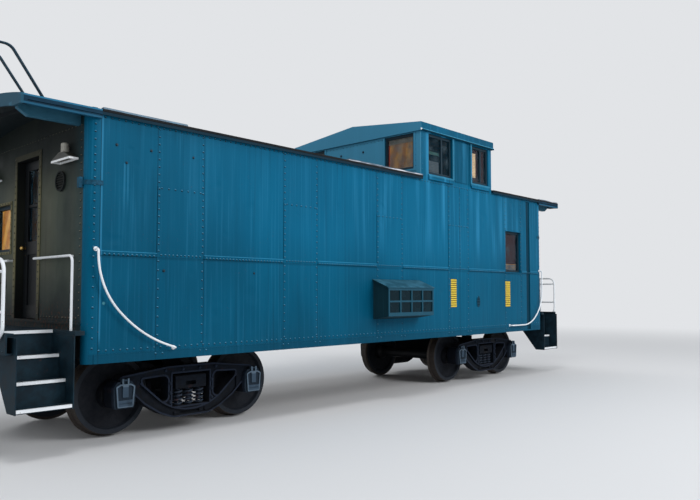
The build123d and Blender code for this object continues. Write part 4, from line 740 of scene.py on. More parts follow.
def roof_paint(name):
    """Roofing compound on top, teal channels over the platforms, pale beams below."""
    f = Finish(name, IOR=1.45, Specular_IOR_Level=0.1)
    top = f.fade(f.up, 0.55, 0.75)
    patch = f.fade(f.noise(1.1, 5, (1, 1.6, 1)), 0.3, 0.75)
    f.tone = f.blend(patch, f.paints.roof, paint(44, 48, 52))
    streak = f.fade(f.noise(1, 4, (18, 1.2, 1), (2, 0, 0)), 0.52, 0.8)
    f.coat(streak * top * 0.28, f.paints.dust)
    under = f.fade(-f.up, 0.5, 0.8)
    f.coat(under, paint(20, 30, 34))
    # The roof plate's edge below the eave, darkened as painted shade
    skirt = f.fade(abs(f.y), SIDE_Y, SIDE_Y + 0.02) * f.drop(f.z, EAVE_Z - 0.024, EAVE_Z - 0.02) * (1 - top)
    f.coat(skirt * 0.9, paint(2, 40, 56))
    porch = f.fade(abs(f.x), 4.378, 4.382)
    rim = f.fade(abs(f.y), SIDE_Y - 0.002, SIDE_Y) * porch * (1 - top)
    band = f.blend(f.fade(f.noise(1, 3, (6, 6, 30)), 0.3, 0.7), paint(2, 34, 52), paint(5, 50, 72))
    # Painted highlights along the channel's lips
    lips = f.line(f.z, 3.261, 0.007, 0.005) + f.line(f.z, 3.186, 0.007, 0.006) * 0.5
    band = f.blend(lips * 0.55, band, f.paints.teal_bleach_and_highlight)
    f.coat(rim, band)
    arch = f.fade(abs(f.x), 5.123, 5.125) * (1 - top)
    f.coat(arch * 0.85, f.paints.beam)
    beam = f.line(abs(f.y), 1.2, 0.031) * f.drop(f.z, 3.215, 3.225) * porch
    lighter = f.blend(f.noise(8, 3) * 0.6, f.paints.beam, paint(60, 112, 136))
    f.coat(beam, lighter)
    return f.done(0.55 + 0.3 * top, f.noise(60, 4) * 0.3 + patch * 0.4, 0.006, 0.6)


def olive_paint(name):
    """Flat olive of the end walls, with painted shade under the roof and at the foot, and painted warm light round
    the door.
    """
    f = Finish(name, IOR=1.45, Specular_IOR_Level=0.15)
    f.tone = f.blend(f.fade(f.noise(1.8, 4, (1, 1, 0.5)), 0.3, 0.75), paint(44, 53, 49), f.paints.olive)
    # Painted warm light on the wall beside the door
    door_light = f.line(abs(f.y), 0.4, 0.1, 0.3) * f.line(f.z, 2.15, 0.3, 0.6)
    f.coat(door_light * 0.25, paint(112, 110, 88))
    frames = f.fade(abs(f.x), HALF_L + 0.002, HALF_L + 0.004)
    f.coat(frames * f.fade(f.z, 1.205, 1.21), f.paints.jamb)
    # Painted shade under the roof, darker towards the top
    top_shade = f.fade(f.z + 0.2 * f.noise(3, 3), 2.45, 3.1)
    f.coat(top_shade * 0.82, paint(12, 18, 20))
    runs = f.fade(f.noise(1, 4, (30, 30, 0.7)), 0.55, 0.8)
    f.coat(runs * 0.35, paint(28, 34, 33))
    # Painted shade, darker towards the foot of the wall
    low = f.drop(f.z + 0.2 * f.noise(4, 3), 1.25, 1.9)
    f.coat(low * 0.85, paint(8, 24, 31))
    foot = f.drop(f.z, 1.2, 1.5) * f.fade(f.noise(26, 4), 0.5, 0.7)
    f.coat(foot * 0.5, f.paints.rust)
    corner = f.fade(abs(f.y), 1.05, 1.3)
    f.coat(corner * 0.55, paint(18, 50, 58))
    reveal = f.drop(abs(f.y), 0.2902, 0.2915) * f.drop(abs(f.x), 4.497, 4.5)
    f.coat(reveal * 0.85, paint(9, 12, 14))
    inside = f.drop(abs(f.x), 4.371, 4.374)
    f.coat(inside, f.paints.cream)
    return f.done(0.5 + 0.25 * f.noise(5, 3), f.noise(1, 2, (1.5, 3, 0.8)) + f.noise(110, 2) * 0.02, 0.012, 0.5)


def white_paint(name):
    """Gloss white on bent pipe, chipped to rust in a few places."""
    f = Finish(name, IOR=1.5)
    chips = f.fade(f.noise(46, 4, rough=0.6), 0.66, 0.7)
    smear = f.noise(7, 4)
    f.tone = f.blend(smear * 0.35, f.paints.white, paint(170, 176, 178))
    f.coat(chips * 0.8, f.paints.rust)
    return f.done(0.3 + 0.2 * smear + chips * 0.4, smear * 0.4 - chips * 0.5, 0.0015, 0.5)


def metal_black(name, base=None, grain=30.0, sheen=0.55):
    """Dusty black paint on steel, browner towards the rails."""
    f = Finish(name, IOR=1.45, Specular_IOR_Level=0.18)
    patch = f.noise(grain, 5, rough=0.6)
    base = base or tuple(f.paints.black)
    f.tone = f.blend(f.fade(patch, 0.3, 0.75), base, tuple(c * 2.1 + 0.003 for c in base))
    grime(f, 0.3, 0.22)
    rusty = f.fade(f.noise(8, 5, rough=0.7), 0.6, 0.74)
    f.coat(rusty * 0.25, f.paints.rust)
    return f.done(sheen + 0.25 * patch, patch, 0.0012, 0.6)


def deck_paint(name):
    """Worn blue-black of the platforms and steps, scuffed where feet go."""
    f = Finish(name, IOR=1.45, Specular_IOR_Level=0.18)
    patch = f.noise(11, 5, rough=0.6)
    f.tone = f.blend(f.fade(patch, 0.3, 0.75), f.paints.deck, paint(20, 44, 56))
    worn = f.fade(f.up, 0.8, 0.95) * f.fade(f.noise(4, 4), 0.42, 0.65)
    f.coat(worn * 0.5, paint(56, 62, 64))
    rusty = f.fade(f.noise(18, 5, rough=0.7), 0.62, 0.74)
    f.coat(rusty * 0.35, f.paints.rust)
    return f.done(0.5 + 0.3 * patch, patch + f.noise(90, 2) * 0.2, 0.0015, 0.6)


def cast_iron(name):
    """Sand-cast truck steel with oily black paint, dusty lids, and painted highlights on raised rims and lid edges.
    """
    f = Finish(name, IOR=1.45, Specular_IOR_Level=0.07)
    patch = f.noise(24, 5, rough=0.65)
    f.tone = f.blend(f.fade(patch, 0.3, 0.7), f.paints.casting, paint(14, 21, 31))
    boxes = f.fade(abs(f.y), 1.052, 1.09)
    f.coat(boxes * 0.25, f.paints.lid)
    face = f.fade(abs(f.y), 1.106, 1.114)
    f.coat(face * (0.5 + 0.5 * f.noise(12, 3)), f.paints.lid)
    # Painted highlights on the edges of the lids' faces
    beside = f.fade(abs(abs(abs(f.x) - TRUCK_X) - AXLE_X), 0.074, 0.084)
    edge = beside.larger(f.fade(abs(f.z - 0.425), 0.094, 0.104)) * f.fade(abs(f.y), 1.114, 1.1165)
    f.coat(edge * 0.5, paint(104, 122, 138))
    # A painted highlight on the frames' raised rim
    rim = f.fade(abs(f.y), 1.043, 1.048) * (1 - boxes)
    f.coat(rim * 0.4, paint(44, 54, 72))
    grime(f, 0.15, 0.04)
    rusty = f.fade(f.noise(7, 5, rough=0.7), 0.6, 0.75)
    f.coat(rusty * 0.12, f.paints.rust)
    oil = f.fade(f.noise(5, 3, shift=(4, 0, 0)), 0.55, 0.7)
    f.coat(oil * 0.5, paint(7, 9, 11))
    return f.done(0.62 - 0.25 * oil + 0.15 * patch, patch + f.noise(150, 2) * 0.3, 0.002, 0.7)


def wheel_steel(name, axle_x):
    """A wheelset: dark plates, oily hubs and browned treads round its own axle."""
    f = Finish(name, IOR=1.5, Specular_IOR_Level=0.2)
    radius = f.reach(f.x - axle_x, f.z - WHEEL_Z)
    patch = f.noise(20, 5, rough=0.6)
    plate = f.blend(f.fade(patch, 0.3, 0.75), paint(9, 16, 25), paint(24, 27, 34))
    rim = f.fade(radius, 0.345, 0.352)
    f.tone = f.blend(rim * 0.6, plate, paint(38, 44, 52))
    worn = f.blend(f.noise(1, 3, (60, 4, 60)), paint(40, 37, 36), paint(70, 63, 58))
    tread = f.fade(radius, 0.409, 0.411)
    f.coat(tread, worn)
    greasy = f.drop(radius, 0.12, 0.17)
    f.coat(greasy * 0.6, paint(8, 9, 10))
    return f.done(0.72 - 0.2 * tread - 0.2 * greasy, patch * (1 - tread), 0.002, 0.6, Metallic=tread * 0.3)


def spring_steel(name):
    """Dark coil springs, paler along the outside of the coils."""
    f = Finish(name, IOR=1.5, Specular_IOR_Level=0.1)
    patch = f.noise(40, 4)
    f.tone = f.blend(f.fade(patch, 0.3, 0.7), paint(13, 17, 24), paint(34, 42, 54))
    f.coat(f.fade(f.level, 0.6, 0.95) * 0.35, paint(66, 78, 94))
    f.coat(f.fade(f.noise(15, 4), 0.58, 0.75) * 0.3, f.paints.rust)
    return f.done(0.45 + 0.3 * patch, patch, 0.001, 0.5)


def sash_paint(name):
    """Dark window frames, greyer on their ledges."""
    f = Finish(name, IOR=1.5, Specular_IOR_Level=0.2)
    patch = f.noise(30, 4)
    f.tone = f.blend(patch, paint(8, 28, 38), paint(18, 48, 62))
    f.coat(f.fade(f.up, 0.6, 0.9) * 0.5, paint(120, 140, 150))
    return f.done(0.45 + 0.2 * patch, patch, 0.0008, 0.4)


def window_glass(name):
    """Old glass: dark, glossy, faintly wavy, dusty in patches, and blind in the cover box."""
    f = Finish(name, IOR=1.5, Specular_IOR_Level=0.09)
    film = f.fade(f.noise(6, 4), 0.4, 0.8)
    dim = f.drop(f.y, -1.62, -1.6)
    f.tone = f.blend(film * 0.4, paint(14, 38, 50), paint(90, 110, 120))
    f.coat(dim, f.blend(film * 0.4, paint(0, 26, 35), paint(2, 42, 54)))
    solid = (0.3 + 0.18 * film + 0.7 * dim).smaller(1.0)
    return f.done(0.04 + 0.12 * film + 0.2 * dim, f.noise(4, 1), 0.003, 0.25, Alpha=solid)


def floor_boards(name):
    """Worn floor boards laid along the car."""
    f = Finish(name, IOR=1.45)
    grain = f.noise(1, 5, (2, 40, 40), rough=0.6)
    gaps = f.line(f.y % 0.14, 0.07, 0.002)
    f.tone = f.blend(f.fade(grain, 0.3, 0.7), paint(92, 72, 52), paint(136, 110, 82))
    f.coat(gaps, paint(24, 18, 14))
    return f.done(0.6 + 0.2 * grain, grain * 0.5 - gaps, 0.002, 0.6)


def lamp_enamel(name):
    """Porch lamps: a white rim, a sooty hood, a metal socket painted pale as a highlight, and a dark arm."""
    f = Finish(name, IOR=1.5)
    stain = f.noise(16, 4)
    f.tone = f.blend(stain, paint(72, 74, 68), paint(46, 47, 44))
    # The socket's pale colour is a painted metallic highlight
    socket = f.fade(f.z, 2.872, 2.88)
    f.coat(socket, f.blend(stain, paint(176, 174, 164), paint(120, 118, 110)))
    under = f.fade(-f.up, 0.2, 0.5) * (1 - socket)
    f.coat(under, paint(150, 150, 142))
    rim = f.drop(f.z, 2.808, 2.813)
    f.coat(rim * (1 - under), paint(238, 241, 243))
    arm = f.drop(abs(f.x), 4.511, 4.513) * f.fade(f.z, 2.815, 2.82)
    f.coat(arm, f.paints.black)
    return f.done(0.3 + 0.25 * stain, stain, 0.001, 0.3)


def door_paint(name):
    """Near-black doors with worn brass knobs."""
    f = Finish(name, IOR=1.5, Specular_IOR_Level=0.2)
    patch = f.noise(6, 4, (1, 1, 0.4))
    f.tone = f.blend(patch, paint(7, 10, 13), paint(17, 22, 26))
    proud = f.fade(abs(f.x), 4.419, 4.421) + f.drop(abs(f.x), 4.354, 4.362)
    brass = proud.smaller(1.0) * f.line(abs(f.y), KNOB_Y, 0.03, 0.004)
    f.coat(brass, paint(190, 156, 92))
    rough = 0.42 + 0.15 * patch - brass * 0.15
    return f.done(rough, patch + f.noise(80, 2) * 0.05, 0.001, 0.4, Metallic=brass * 0.9)


def reflector(name):
    """Yellow reflector bars, dirty in patches."""
    f = Finish(name, IOR=1.5)
    patch = f.noise(26, 4)
    f.tone = f.blend(f.fade(patch, 0.4, 0.8) * 0.6, f.paints.yellow, paint(150, 140, 60))
    return f.done(0.3 + 0.2 * patch, f.noise(300, 1), 0.0006, 0.5)


def amber_wood(name, glow, faded):
    """Varnished boards behind the glass with a painted glow for the light on them, a wavy grain, greyer where
    faded.
    """
    f = Finish(name, IOR=1.5, Emission_Strength=glow)
    bent = f.noise(3, 3)
    rings = f.node("ShaderNodeTexWave", {"wave_type": "BANDS", "bands_direction": "DIAGONAL"}, {
        "Vector": f.moved((1.0, 1.0, 0.4)), "Scale": 3.0, "Distortion": 4.5, "Detail": 2.0, "Detail Scale": 1.2,
    }, 1)
    f.tone = f.blend(f.fade(rings, 0.1, 0.9), paint(190, 126, 52), f.paints.amber)
    f.coat(f.fade(bent, 0.45, 0.7) * 0.6, paint(240, 206, 140))
    f.coat(f.fade(f.noise(5, 3, shift=(2, 0, 0)), 0.3, 0.7) * faded, paint(124, 134, 140))
    return f.done(0.35 + 0.2 * bent, rings, 0.001, 0.3, Emission_Color=f.tone)


def blind_cloth(name, tone_a, tone_b, glow):
    """Blinds and painted bars behind the glass, dustier in bands, with a painted glow for the light on them."""
    f = Finish(name, IOR=1.45, Specular_IOR_Level=0.2, Emission_Strength=glow)
    band = f.noise(1, 3, (4, 4, 40))
    f.tone = f.blend(band, tone_a, tone_b)
    return f.done(0.6 + 0.2 * band, band, 0.0005, 0.3, Emission_Color=f.tone)


def edge_strip(name):
    """Flashing along the roof's edge: weathered blue-grey metal, with a painted white highlight from near the
    cupola on.
    """
    f = Finish(name, IOR=1.5, Metallic=0.2)
    worn = f.fade(f.noise(1, 4, (3, 9, 60)), 0.4, 0.7)
    bright = f.fade(f.x, -1.5, -0.9)
    f.tone = f.blend(worn, paint(50, 74, 92), paint(96, 128, 148))
    # A painted white highlight from near the cupola on
    f.coat(bright * worn, paint(206, 204, 210))
    return f.done(0.4 + 0.2 * worn, worn, 0.001, 0.4)


# What makes each finish, with the values of its own
FINISHES = {
    "teal_paint": (teal_paint,),
    "cupola_roof_paint": (cupola_top,),
    "roof_paint": (roof_paint,),
    "olive_paint": (olive_paint,),
    "white_paint": (white_paint,),
    "black_paint": (metal_black,),
    "ladder_paint": (metal_black, paint(16, 42, 56), 40.0, 0.45),
    "bracket_paint": (metal_black, paint(4, 52, 72), 30.0, 0.5),
    "drip_edge": (metal_black, paint(10, 13, 16), 40.0, 0.6),
    "vent_paint": (metal_black, paint(16, 21, 21), 30.0, 0.6),
    "reflector_back": (metal_black, paint(84, 62, 18), 60.0, 0.6),
    "deck_paint": (deck_paint,),
    "cast_iron": (cast_iron,),
    "spring_steel": (spring_steel,),
    "sash_paint": (sash_paint,),
    "window_glass": (window_glass,),
    "floor_boards": (floor_boards,),
    "lamp_enamel": (lamp_enamel,),
    "door_paint": (door_paint,),
    "cover_paint": (cover_paint,),
    "roof_flashing": (edge_strip,),
    "reflector_yellow": (reflector,),
    # The boards and blinds below glow with painted light
    "porch_boards": (amber_wood, 1.0, 0.0),
    "cupola_boards": (amber_wood, 0.25, 0.7),
    "cream_blind": (blind_cloth, paint(252, 226, 188), paint(238, 208, 164), 0.85),
    "brown_blind": (blind_cloth, paint(70, 40, 40), paint(88, 54, 50), 0.3),
    "red_edge": (blind_cloth, paint(196, 92, 70), paint(160, 70, 54), 0.3),
    "grey_blind": (blind_cloth, paint(110, 126, 136), paint(150, 162, 168), 0.2),
    "inner_frame": (blind_cloth, paint(146, 146, 138), paint(176, 172, 158), 0.15),
    "green_bar": (blind_cloth, paint(60, 108, 102), paint(84, 130, 124), 0.3),
    # Each rivet and bolt finish: the colour of its shaded underside, then of its lit top
    "side_rivets": (rivet_heads, paint(0, 34, 50), paint(66, 138, 172)),
    "end_rivets": (rivet_heads, paint(14, 19, 19), paint(108, 108, 94)),
    "sill_rivets": (rivet_heads, paint(7, 18, 24), paint(60, 84, 96)),
    "wall_bolts": (rivet_heads, paint(4, 20, 28), paint(20, 60, 80)),
}

# The finish of each material slot, and of the pieces that differ from their slot
SLOT_FINISH = {
    "body_paint": "teal_paint",
    "roof_paint": "roof_paint",
    "end_paint": "olive_paint",
    "rail_white": "white_paint",
    "underframe_black": "black_paint",
    "deck_steel": "deck_paint",
    "cast_steel": "cast_iron",
    "spring_steel": "spring_steel",
    "sash_paint": "sash_paint",
    "window_glass": "window_glass",
    "floor_wood": "floor_boards",
    "lamp_white": "lamp_enamel",
    "door_paint": "door_paint",
}
NODE_FINISH = {
    "cupola_roof": "cupola_roof_paint",
    "roof_ladder_a": "ladder_paint",
    "roof_ladder_b": "ladder_paint",
    "cooler_cover": "cover_paint",
    "end_vents": "vent_paint",
    "marker_brackets": "bracket_paint",
}


class CABOOSE_OT_paint(Operator):
    """Give every piece of the frame its finish"""

    bl_idname = "caboose.paint"
    bl_label = "Paint the frame"

    def execute(self, context):
        axles = {
            f"wheelset_{letter}{number}": end * TRUCK_X + way * AXLE_X
            for letter, end in ENDS for number, way in ((1, -1), (2, 1))
        }
        for part in frame["record"]["subparts"]:
            node, slot = part["node"], part["material_slot"]
            if node in axles:
                material = wheel_steel(f"{node}_steel", axles[node])
            else:
                material = finish(NODE_FINISH.get(node) or SLOT_FINISH[slot])
            data = frame["nodes"][node].data
            data.materials.clear()
            data.materials.append(material)
        return {"FINISHED"}


def side_rows(side):
    """The rivet rows of one side sheet, by how close their rivets stand."""
    high, low, sill, belt = Rows(), Rows(), Rows(), Rows()
    out = (0, side, 0)

    def column(rows, x, depth, span):
        rows.run(*((x, side * depth, z) for z in span), out=out)

    def level(rows, z, depth, span):
        rows.run(*((x, side * depth, z) for x in span), out=out)

    for x in (-CORNER_X, CORNER_X):
        column(high, x, SIDE_Y - 0.0015, CORNER_HIGH)
        column(low, x, SIDE_Y - 0.0015, CORNER_LOW)
    for x in [bay + edge * (BAY_HALF - 0.018) for bay in BAY_X for edge in (-1, 1)]:
        column(high, x, SIDE_Y if x > 3 else PLATE_Y, PLATE_SPAN)
        column(high, x, SIDE_Y, UPPER_SPAN)
        column(low, x, SIDE_Y, LOWER_SPAN)
        sill.spots([(x + dx, side * BAND_Y, BAND_ROW_Z) for dx in (-0.02, 0.06)], out)
    column(high, SEAM_X, PLATE_Y, PLATE_SPAN)
    column(high, SEAM_X, SIDE_Y, UPPER_SPAN)
    for bay in BAY_X[:-1]:
        span = (bay - BAY_HALF + 0.05, bay + BAY_HALF - 0.05)
        level(high, PLATE_TOP_Z, PLATE_Y, span)
        level(belt, PLATE_LOW_Z, PLATE_Y, span)
    stops = [-HALF_L + 0.18] + [bay + e * (BAY_HALF + 0.035) for bay in BAY_X for e in (-1, 1)] + [HALF_L - 0.18]
    for span in zip(stops[::2], stops[1::2]):
        level(belt, BELT_ROW_Z, BELT_Y, span)
    level(sill, SILL_ROW_Z, SIDE_Y, (-4.36, 4.36))
    level(high, EAVE_ROW_Z, SIDE_Y, (-4.33, 4.36))
    return high, low, sill, belt


class CABOOSE_OT_rivet_sides(Operator):
    """Set the rivets of both side sheets, with the few loose bolts between them"""

    bl_idname = "caboose.rivet_sides"
    bl_label = "Side rivets"

    def execute(self, context):
        sizes = context.scene.caboose_fixings
        tree = rivet_pattern()
        head = {"Diameter": sizes.rivet_d, "Height": sizes.rivet_h}
        pitches = (sizes.pitch_high, sizes.pitch_low, sizes.pitch_sill, sizes.pitch_belt)
        for name, side in SIDES:
            for label, rows, pitch in zip(("upper", "lower", "sill", "belt"), side_rows(side), pitches):
                piece = f"rivets_{name}_{label}"
                rows_piece(piece, rows, tree, "side_rivets", "body_paint", Pitch=pitch, **head)
            bolts = Rows()
            spots = [(-4.207, 2.952), (-3.826, 2.95), (-3.318, 2.952), (-4.1, 2.787), (-3.664, 1.72), (-2.47, 1.72)]
            bolts.spots([(x, side * SIDE_Y, z) for x, z in spots], (0, side, 0))
            size = {"Diameter": 0.024, "Height": 0.012}
            rows_piece(f"wall_bolts_{name}", bolts, bolt_pattern(), "wall_bolts", "body_paint", **size)
        return {"FINISHED"}


class CABOOSE_OT_rivet_ends(Operator):
    """Set the rivets of the end walls, the end sills and the brackets on them"""

    bl_idname = "caboose.rivet_ends"
    bl_label = "End rivets"

    def execute(self, context):
        sizes = context.scene.caboose_fixings
        tree = rivet_pattern()
        walls, sills, feet = Rows(), Rows(), Rows()
        y0, y1, z0, z1 = END_WINDOW
        top, foot, beside = 3.12, 1.27, 0.015
        for end in (-1, 1):
            face, proud = end * HALF_L, end * (HALF_L + 0.008)
            out = (end, 0, 0)

            def up(y, low, high, x=face):
                walls.run((x, -end * y, low), (x, -end * y, high), out=out)

            def level(z, left, right, x=face):
                walls.run((x, -end * left, z), (x, -end * right, z), out=out)

            for corner in (-1.255, 1.255):
                up(corner, foot, top)
            for post in (-0.322, 0.322):
                up(post, foot, 2.98, proud)
            level(top, -1.2, 1.2)
            for left, right in ((-1.2, -0.4), (0.4, 1.2)):
                level(foot - 0.025, left, right)
            for y in (y0 - beside, y1 + beside):
                up(y, z0, z1, proud)
            for z in (z1 + beside, z0 - beside):
                level(z, y0, y1, proud)
            front = end * END_SILL_X
            for z in (0.972, 1.098):
                for side in (-1, 1):
                    sills.run((front, side * 0.24, z), (front, side * 1.27, z), out=out)
            for y, heights in ((0.8, (1.04, 1.0)), (1.0, (1.04, 1.0)), (1.175, (1.11, 1.07))):
                for side in (-1, 1):
                    feet.spots([(front + end * 0.01, side * y, z) for z in heights], out)
            striker = front + end * 0.058
            feet.spots([(striker, side * 0.155, z) for side in (-1, 1) for z in (0.84, 0.96)], out)
        size = {"Diameter": sizes.rivet_d * 0.9, "Height": sizes.rivet_h}
        rows_piece("rivets_ends", walls, tree, "end_rivets", "end_paint", Pitch=sizes.pitch_high, **size)
        rows_piece("rivets_end_sills", sills, tree, "sill_rivets", "deck_steel", Pitch=sizes.pitch_sill, **size)
        size = {"Diameter": 0.02, "Height": 0.012}
        rows_piece("rail_foot_bolts", feet, bolt_pattern(), "deck_paint", "deck_steel", **size)
        return {"FINISHED"}


def roof_top(y):
    """Height of the main roof's top at y."""
    return EAVE_Z + ROOF_RISE - ROOF_R + sqrt(ROOF_R**2 - y * y)


class CABOOSE_OT_trim_roof(Operator):
    """Lay straps over the roof's joints, their rivets, and the flashing along its edges"""

    bl_idname = "caboose.trim_roof"
    bl_label = "Roof trim"

    def execute(self, context):
        foot = context.scene.caboose_trim.seam_w / 2
        crown = foot - 0.004
        section = ((-foot, -0.002), (foot, -0.002), (crown, STRAP_T), (-crown, STRAP_T))
        straps, rows = Shape(), Rows()
        across = [(ROOF_HALF_W - 0.004) * (n / 14 - 1) for n in range(29)]
        inner = across[1:-1]
        out = [(0, y / ROOF_R, sqrt(1 - (y / ROOF_R) ** 2)) for y in inner]
        for x in STRAP_X:
            straps.strip([[(x + dx, y, roof_top(y) + dz) for dx, dz in section] for y in across])
            for dx in (-0.013, 0.013):
                rows.run(*((x + dx, y, roof_top(y) + STRAP_T) for y in inner), out=out)
        straps.done("roof_straps", "roof_paint", "roof_paint")
        size = {"Pitch": 0.085, "Diameter": 0.016, "Height": 0.005}
        rows_piece("rivets_roof", rows, rivet_pattern(), "roof_paint", "roof_paint", **size)
        # Flashing on the roof's edge, in three lengths, and the drip edge below it, in two
        edge, eave = Shape(), Shape()
        for side in (-1, 1):
            y = side * (ROOF_HALF_W + 0.002)
            for x0, x1, top in ((-4.37, -3.42, 0.022), (-0.9, 0.735, 0.024), (4.4, 5.12, 0.02)):
                edge.bar((x0, y - side * 0.05, EAVE_Z - 0.002), (x1, y + side * 0.002, EAVE_Z + top), 0.002)
            for x0, x1 in ((-4.375, 0.735), (2.745, 5.14)):
                eave.bar((x0, y - side * 0.004, EAVE_Z - 0.018), (x1, y + side * 0.004, EAVE_Z + 0.004), 0.0015)
        edge.done("roof_flashing", "roof_flashing", "roof_paint")
        eave.done("roof_drip_edge", "drip_edge", "roof_paint")
        return {"FINISHED"}


class CABOOSE_OT_trim_cupola(Operator):
    """Set the cupola's rivets, bolts and corner strips"""

    bl_idname = "caboose.trim_cupola"
    bl_label = "Cupola trim"

    def execute(self, context):
        rows, bolts, strips = Rows(), Rows(), Shape()
        foot = 3.3
        low, high = CUPOLA_X
        posts = (CUPOLA_WINDOWS[0][1] + 0.022, CUPOLA_WINDOWS[1][0] - 0.022)
        for side in (-1, 1):
            for places, depth in (((low + 0.03, high - 0.03), SIDE_Y), (posts, SIDE_Y + 0.02)):
                for x in places:
                    rows.run((x, side * depth, foot), (x, side * depth, CUPOLA_TOP_Z), out=(0, side, 0))
        for x, end in ((low, -1), (high, 1)):
            out = (end, 0, 0)
            for side in (-1, 1):
                rows.run((x, side * 1.29, foot + 0.06), (x, side * 1.29, CUPOLA_TOP_Z), out=out)
                strips.bar((x, side * 1.36, foot), (x + end * 0.006, side * 1.388, CUPOLA_TOP_Z + 0.01), 0.002)
            rows.run((x, -0.62, 3.93), (x, 0.62, 3.93), out=out)
            bolts.spots([(x, 0.286, 3.8), (x, -0.214, 3.8)], out)
        size = {"Pitch": 0.075, "Diameter": 0.015, "Height": 0.005}
        rows_piece("rivets_cupola", rows, rivet_pattern(), "side_rivets", "body_paint", **size)
        size = {"Diameter": 0.03, "Height": 0.016}
        rows_piece("cupola_bolts", bolts, bolt_pattern(), "wall_bolts", "body_paint", **size)
        for side in (-1, 1):
            strips.bar((1.762, side * SIDE_Y, 3.1), (1.822, side * (SIDE_Y + 0.004), 3.168))
        strips.done("cupola_corner_strips", "teal_paint", "body_paint")
        return {"FINISHED"}


class CABOOSE_OT_reflectors(Operator):
    """Fix the four ladders of yellow reflector bars on the sides"""

    bl_idname = "caboose.reflectors"
    bl_label = "Reflector bars"

    def execute(self, context):
        trim = context.scene.caboose_trim
        tree = slat_pattern()
        backs = Shape()
        for tag, side in SIDES:
            for number, (x0, x1, z0, z1) in enumerate(REFLECTORS, 1):
                pitch = (z1 - z0) / trim.bars
                backs.bar((x0 + 0.006, side * SIDE_Y, z0), (x1 - 0.006, side * (SIDE_Y + 0.0015), z1), 0.0005)
                values = {
                    "Count": trim.bars, "Pitch": pitch, "Size": (x1 - x0, 0.004, min(trim.bar_h, pitch * 0.8)),
                    "Start": ((x0 + x1) / 2, side * (SIDE_Y + 0.002), z0 + pitch / 2),
                    "Finish": finish("reflector_yellow"),
                }
                settle(grown(f"reflector_{tag}_{number}", tree, values))
        backs.done("reflector_backs", "reflector_back", "body_paint")
        return {"FINISHED"}


class CABOOSE_OT_step_edges(Operator):
    """Put white strips on the steps and raised tread on steps and platforms"""

    bl_idname = "caboose.step_edges"
    bl_label = "Step edges and treads"

    def execute(self, context):
        trim = context.scene.caboose_trim
        strips, rows = Shape(), Rows()
        t, tall, pitch = trim.nosing_t, trim.nosing_h, trim.tread_pitch
        up = (0, 0, 1)
        for end in (-1, 1):
            x0, x1 = end * (STEP_X[0] + 0.003), end * (STEP_X[1] - 0.003)
            for side in (-1, 1):
                for n in range(4):
                    y = side * (STEP_Y + n * STEP_GOING)
                    z = DECK_Z - n * STEP_RISE
                    strips.bar((x0, y, z - tall), (x1, y + side * t, z + t))
                    strips.bar((x0, y - side * 0.022, z), (x1, y + side * t, z + t))
                    # Three bars on each step, and none on the deck's own edge
                    for k in range(3 if n else 0):
                        line = y - side * (0.04 + k * pitch)
                        rows.run((x0 + end * 0.02, line, z), (x1 - end * 0.02, line, z), out=up)
            for k in range(int((END_SILL_X - HALF_L - 0.12) / pitch)):
                x = end * (HALF_L + 0.05 + k * pitch)
                wide = STEP_Y - 0.04 if abs(x) > STEP_X[0] - 0.03 else SIDE_Y - 0.03
                rows.run((x, -wide, DECK_Z), (x, wide, DECK_Z), out=up)
        strips.done("step_nosings", "white_paint", "rail_white")
        size = {"Pitch": pitch, "Diameter": 0.028, "Height": 0.002}
        rows_piece("tread_bars", rows, tread_pattern(), "deck_paint", "deck_steel", **size)
        return {"FINISHED"}


def board_window(shape, x, thick, way, window):
    """Three upright boards across a window of an end wall."""
    y0, y1, z0, z1 = window
    wide, gap = (y1 - y0) / 3, 0.001
    for y in (y0, y0 + wide, y0 + 2 * wide):
        shape.bar((x, way * (y + gap), z0), (x + thick, way * (y + wide - gap), z1), 0.002)


def hang_boards():
    """Boards inside the windows of the end walls and of the cupola's ends, which have frames before them."""
    porch, cupola, frames, edges = Shape(), Shape(), Shape(), Shape()
    y0, y1, z0, z1 = CUPOLA_END_WINDOW
    for end, wall in zip((-1, 1), CUPOLA_X):
        board_window(porch, end * 4.382, end * 0.01, -end, END_WINDOW)
        inside = wall - end * 0.068
        before = inside + end * 0.012
        for side in (-1, 1):
            board_window(cupola, inside, 0.008, side, CUPOLA_END_WINDOW)
            for shape, left, right, low, high in (
                (frames, y0, y1, z1 - 0.11, z1),
                (edges, y0, y0 + 0.055, z0, z1 - 0.11),
                (frames, y0 + 0.06, y1, z0, z0 + 0.055),
            ):
                shape.bar((before, side * left, low), (before + 0.008, side * right, high), 0.002)
    porch.done("porch_window_boards", "porch_boards", "floor_wood")
    cupola.done("cupola_window_boards", "cupola_boards", "floor_wood")
    frames.done("cupola_inner_frames", "inner_frame", "sash_paint")
    edges.done("cupola_inner_edges", "red_edge", "sash_paint")


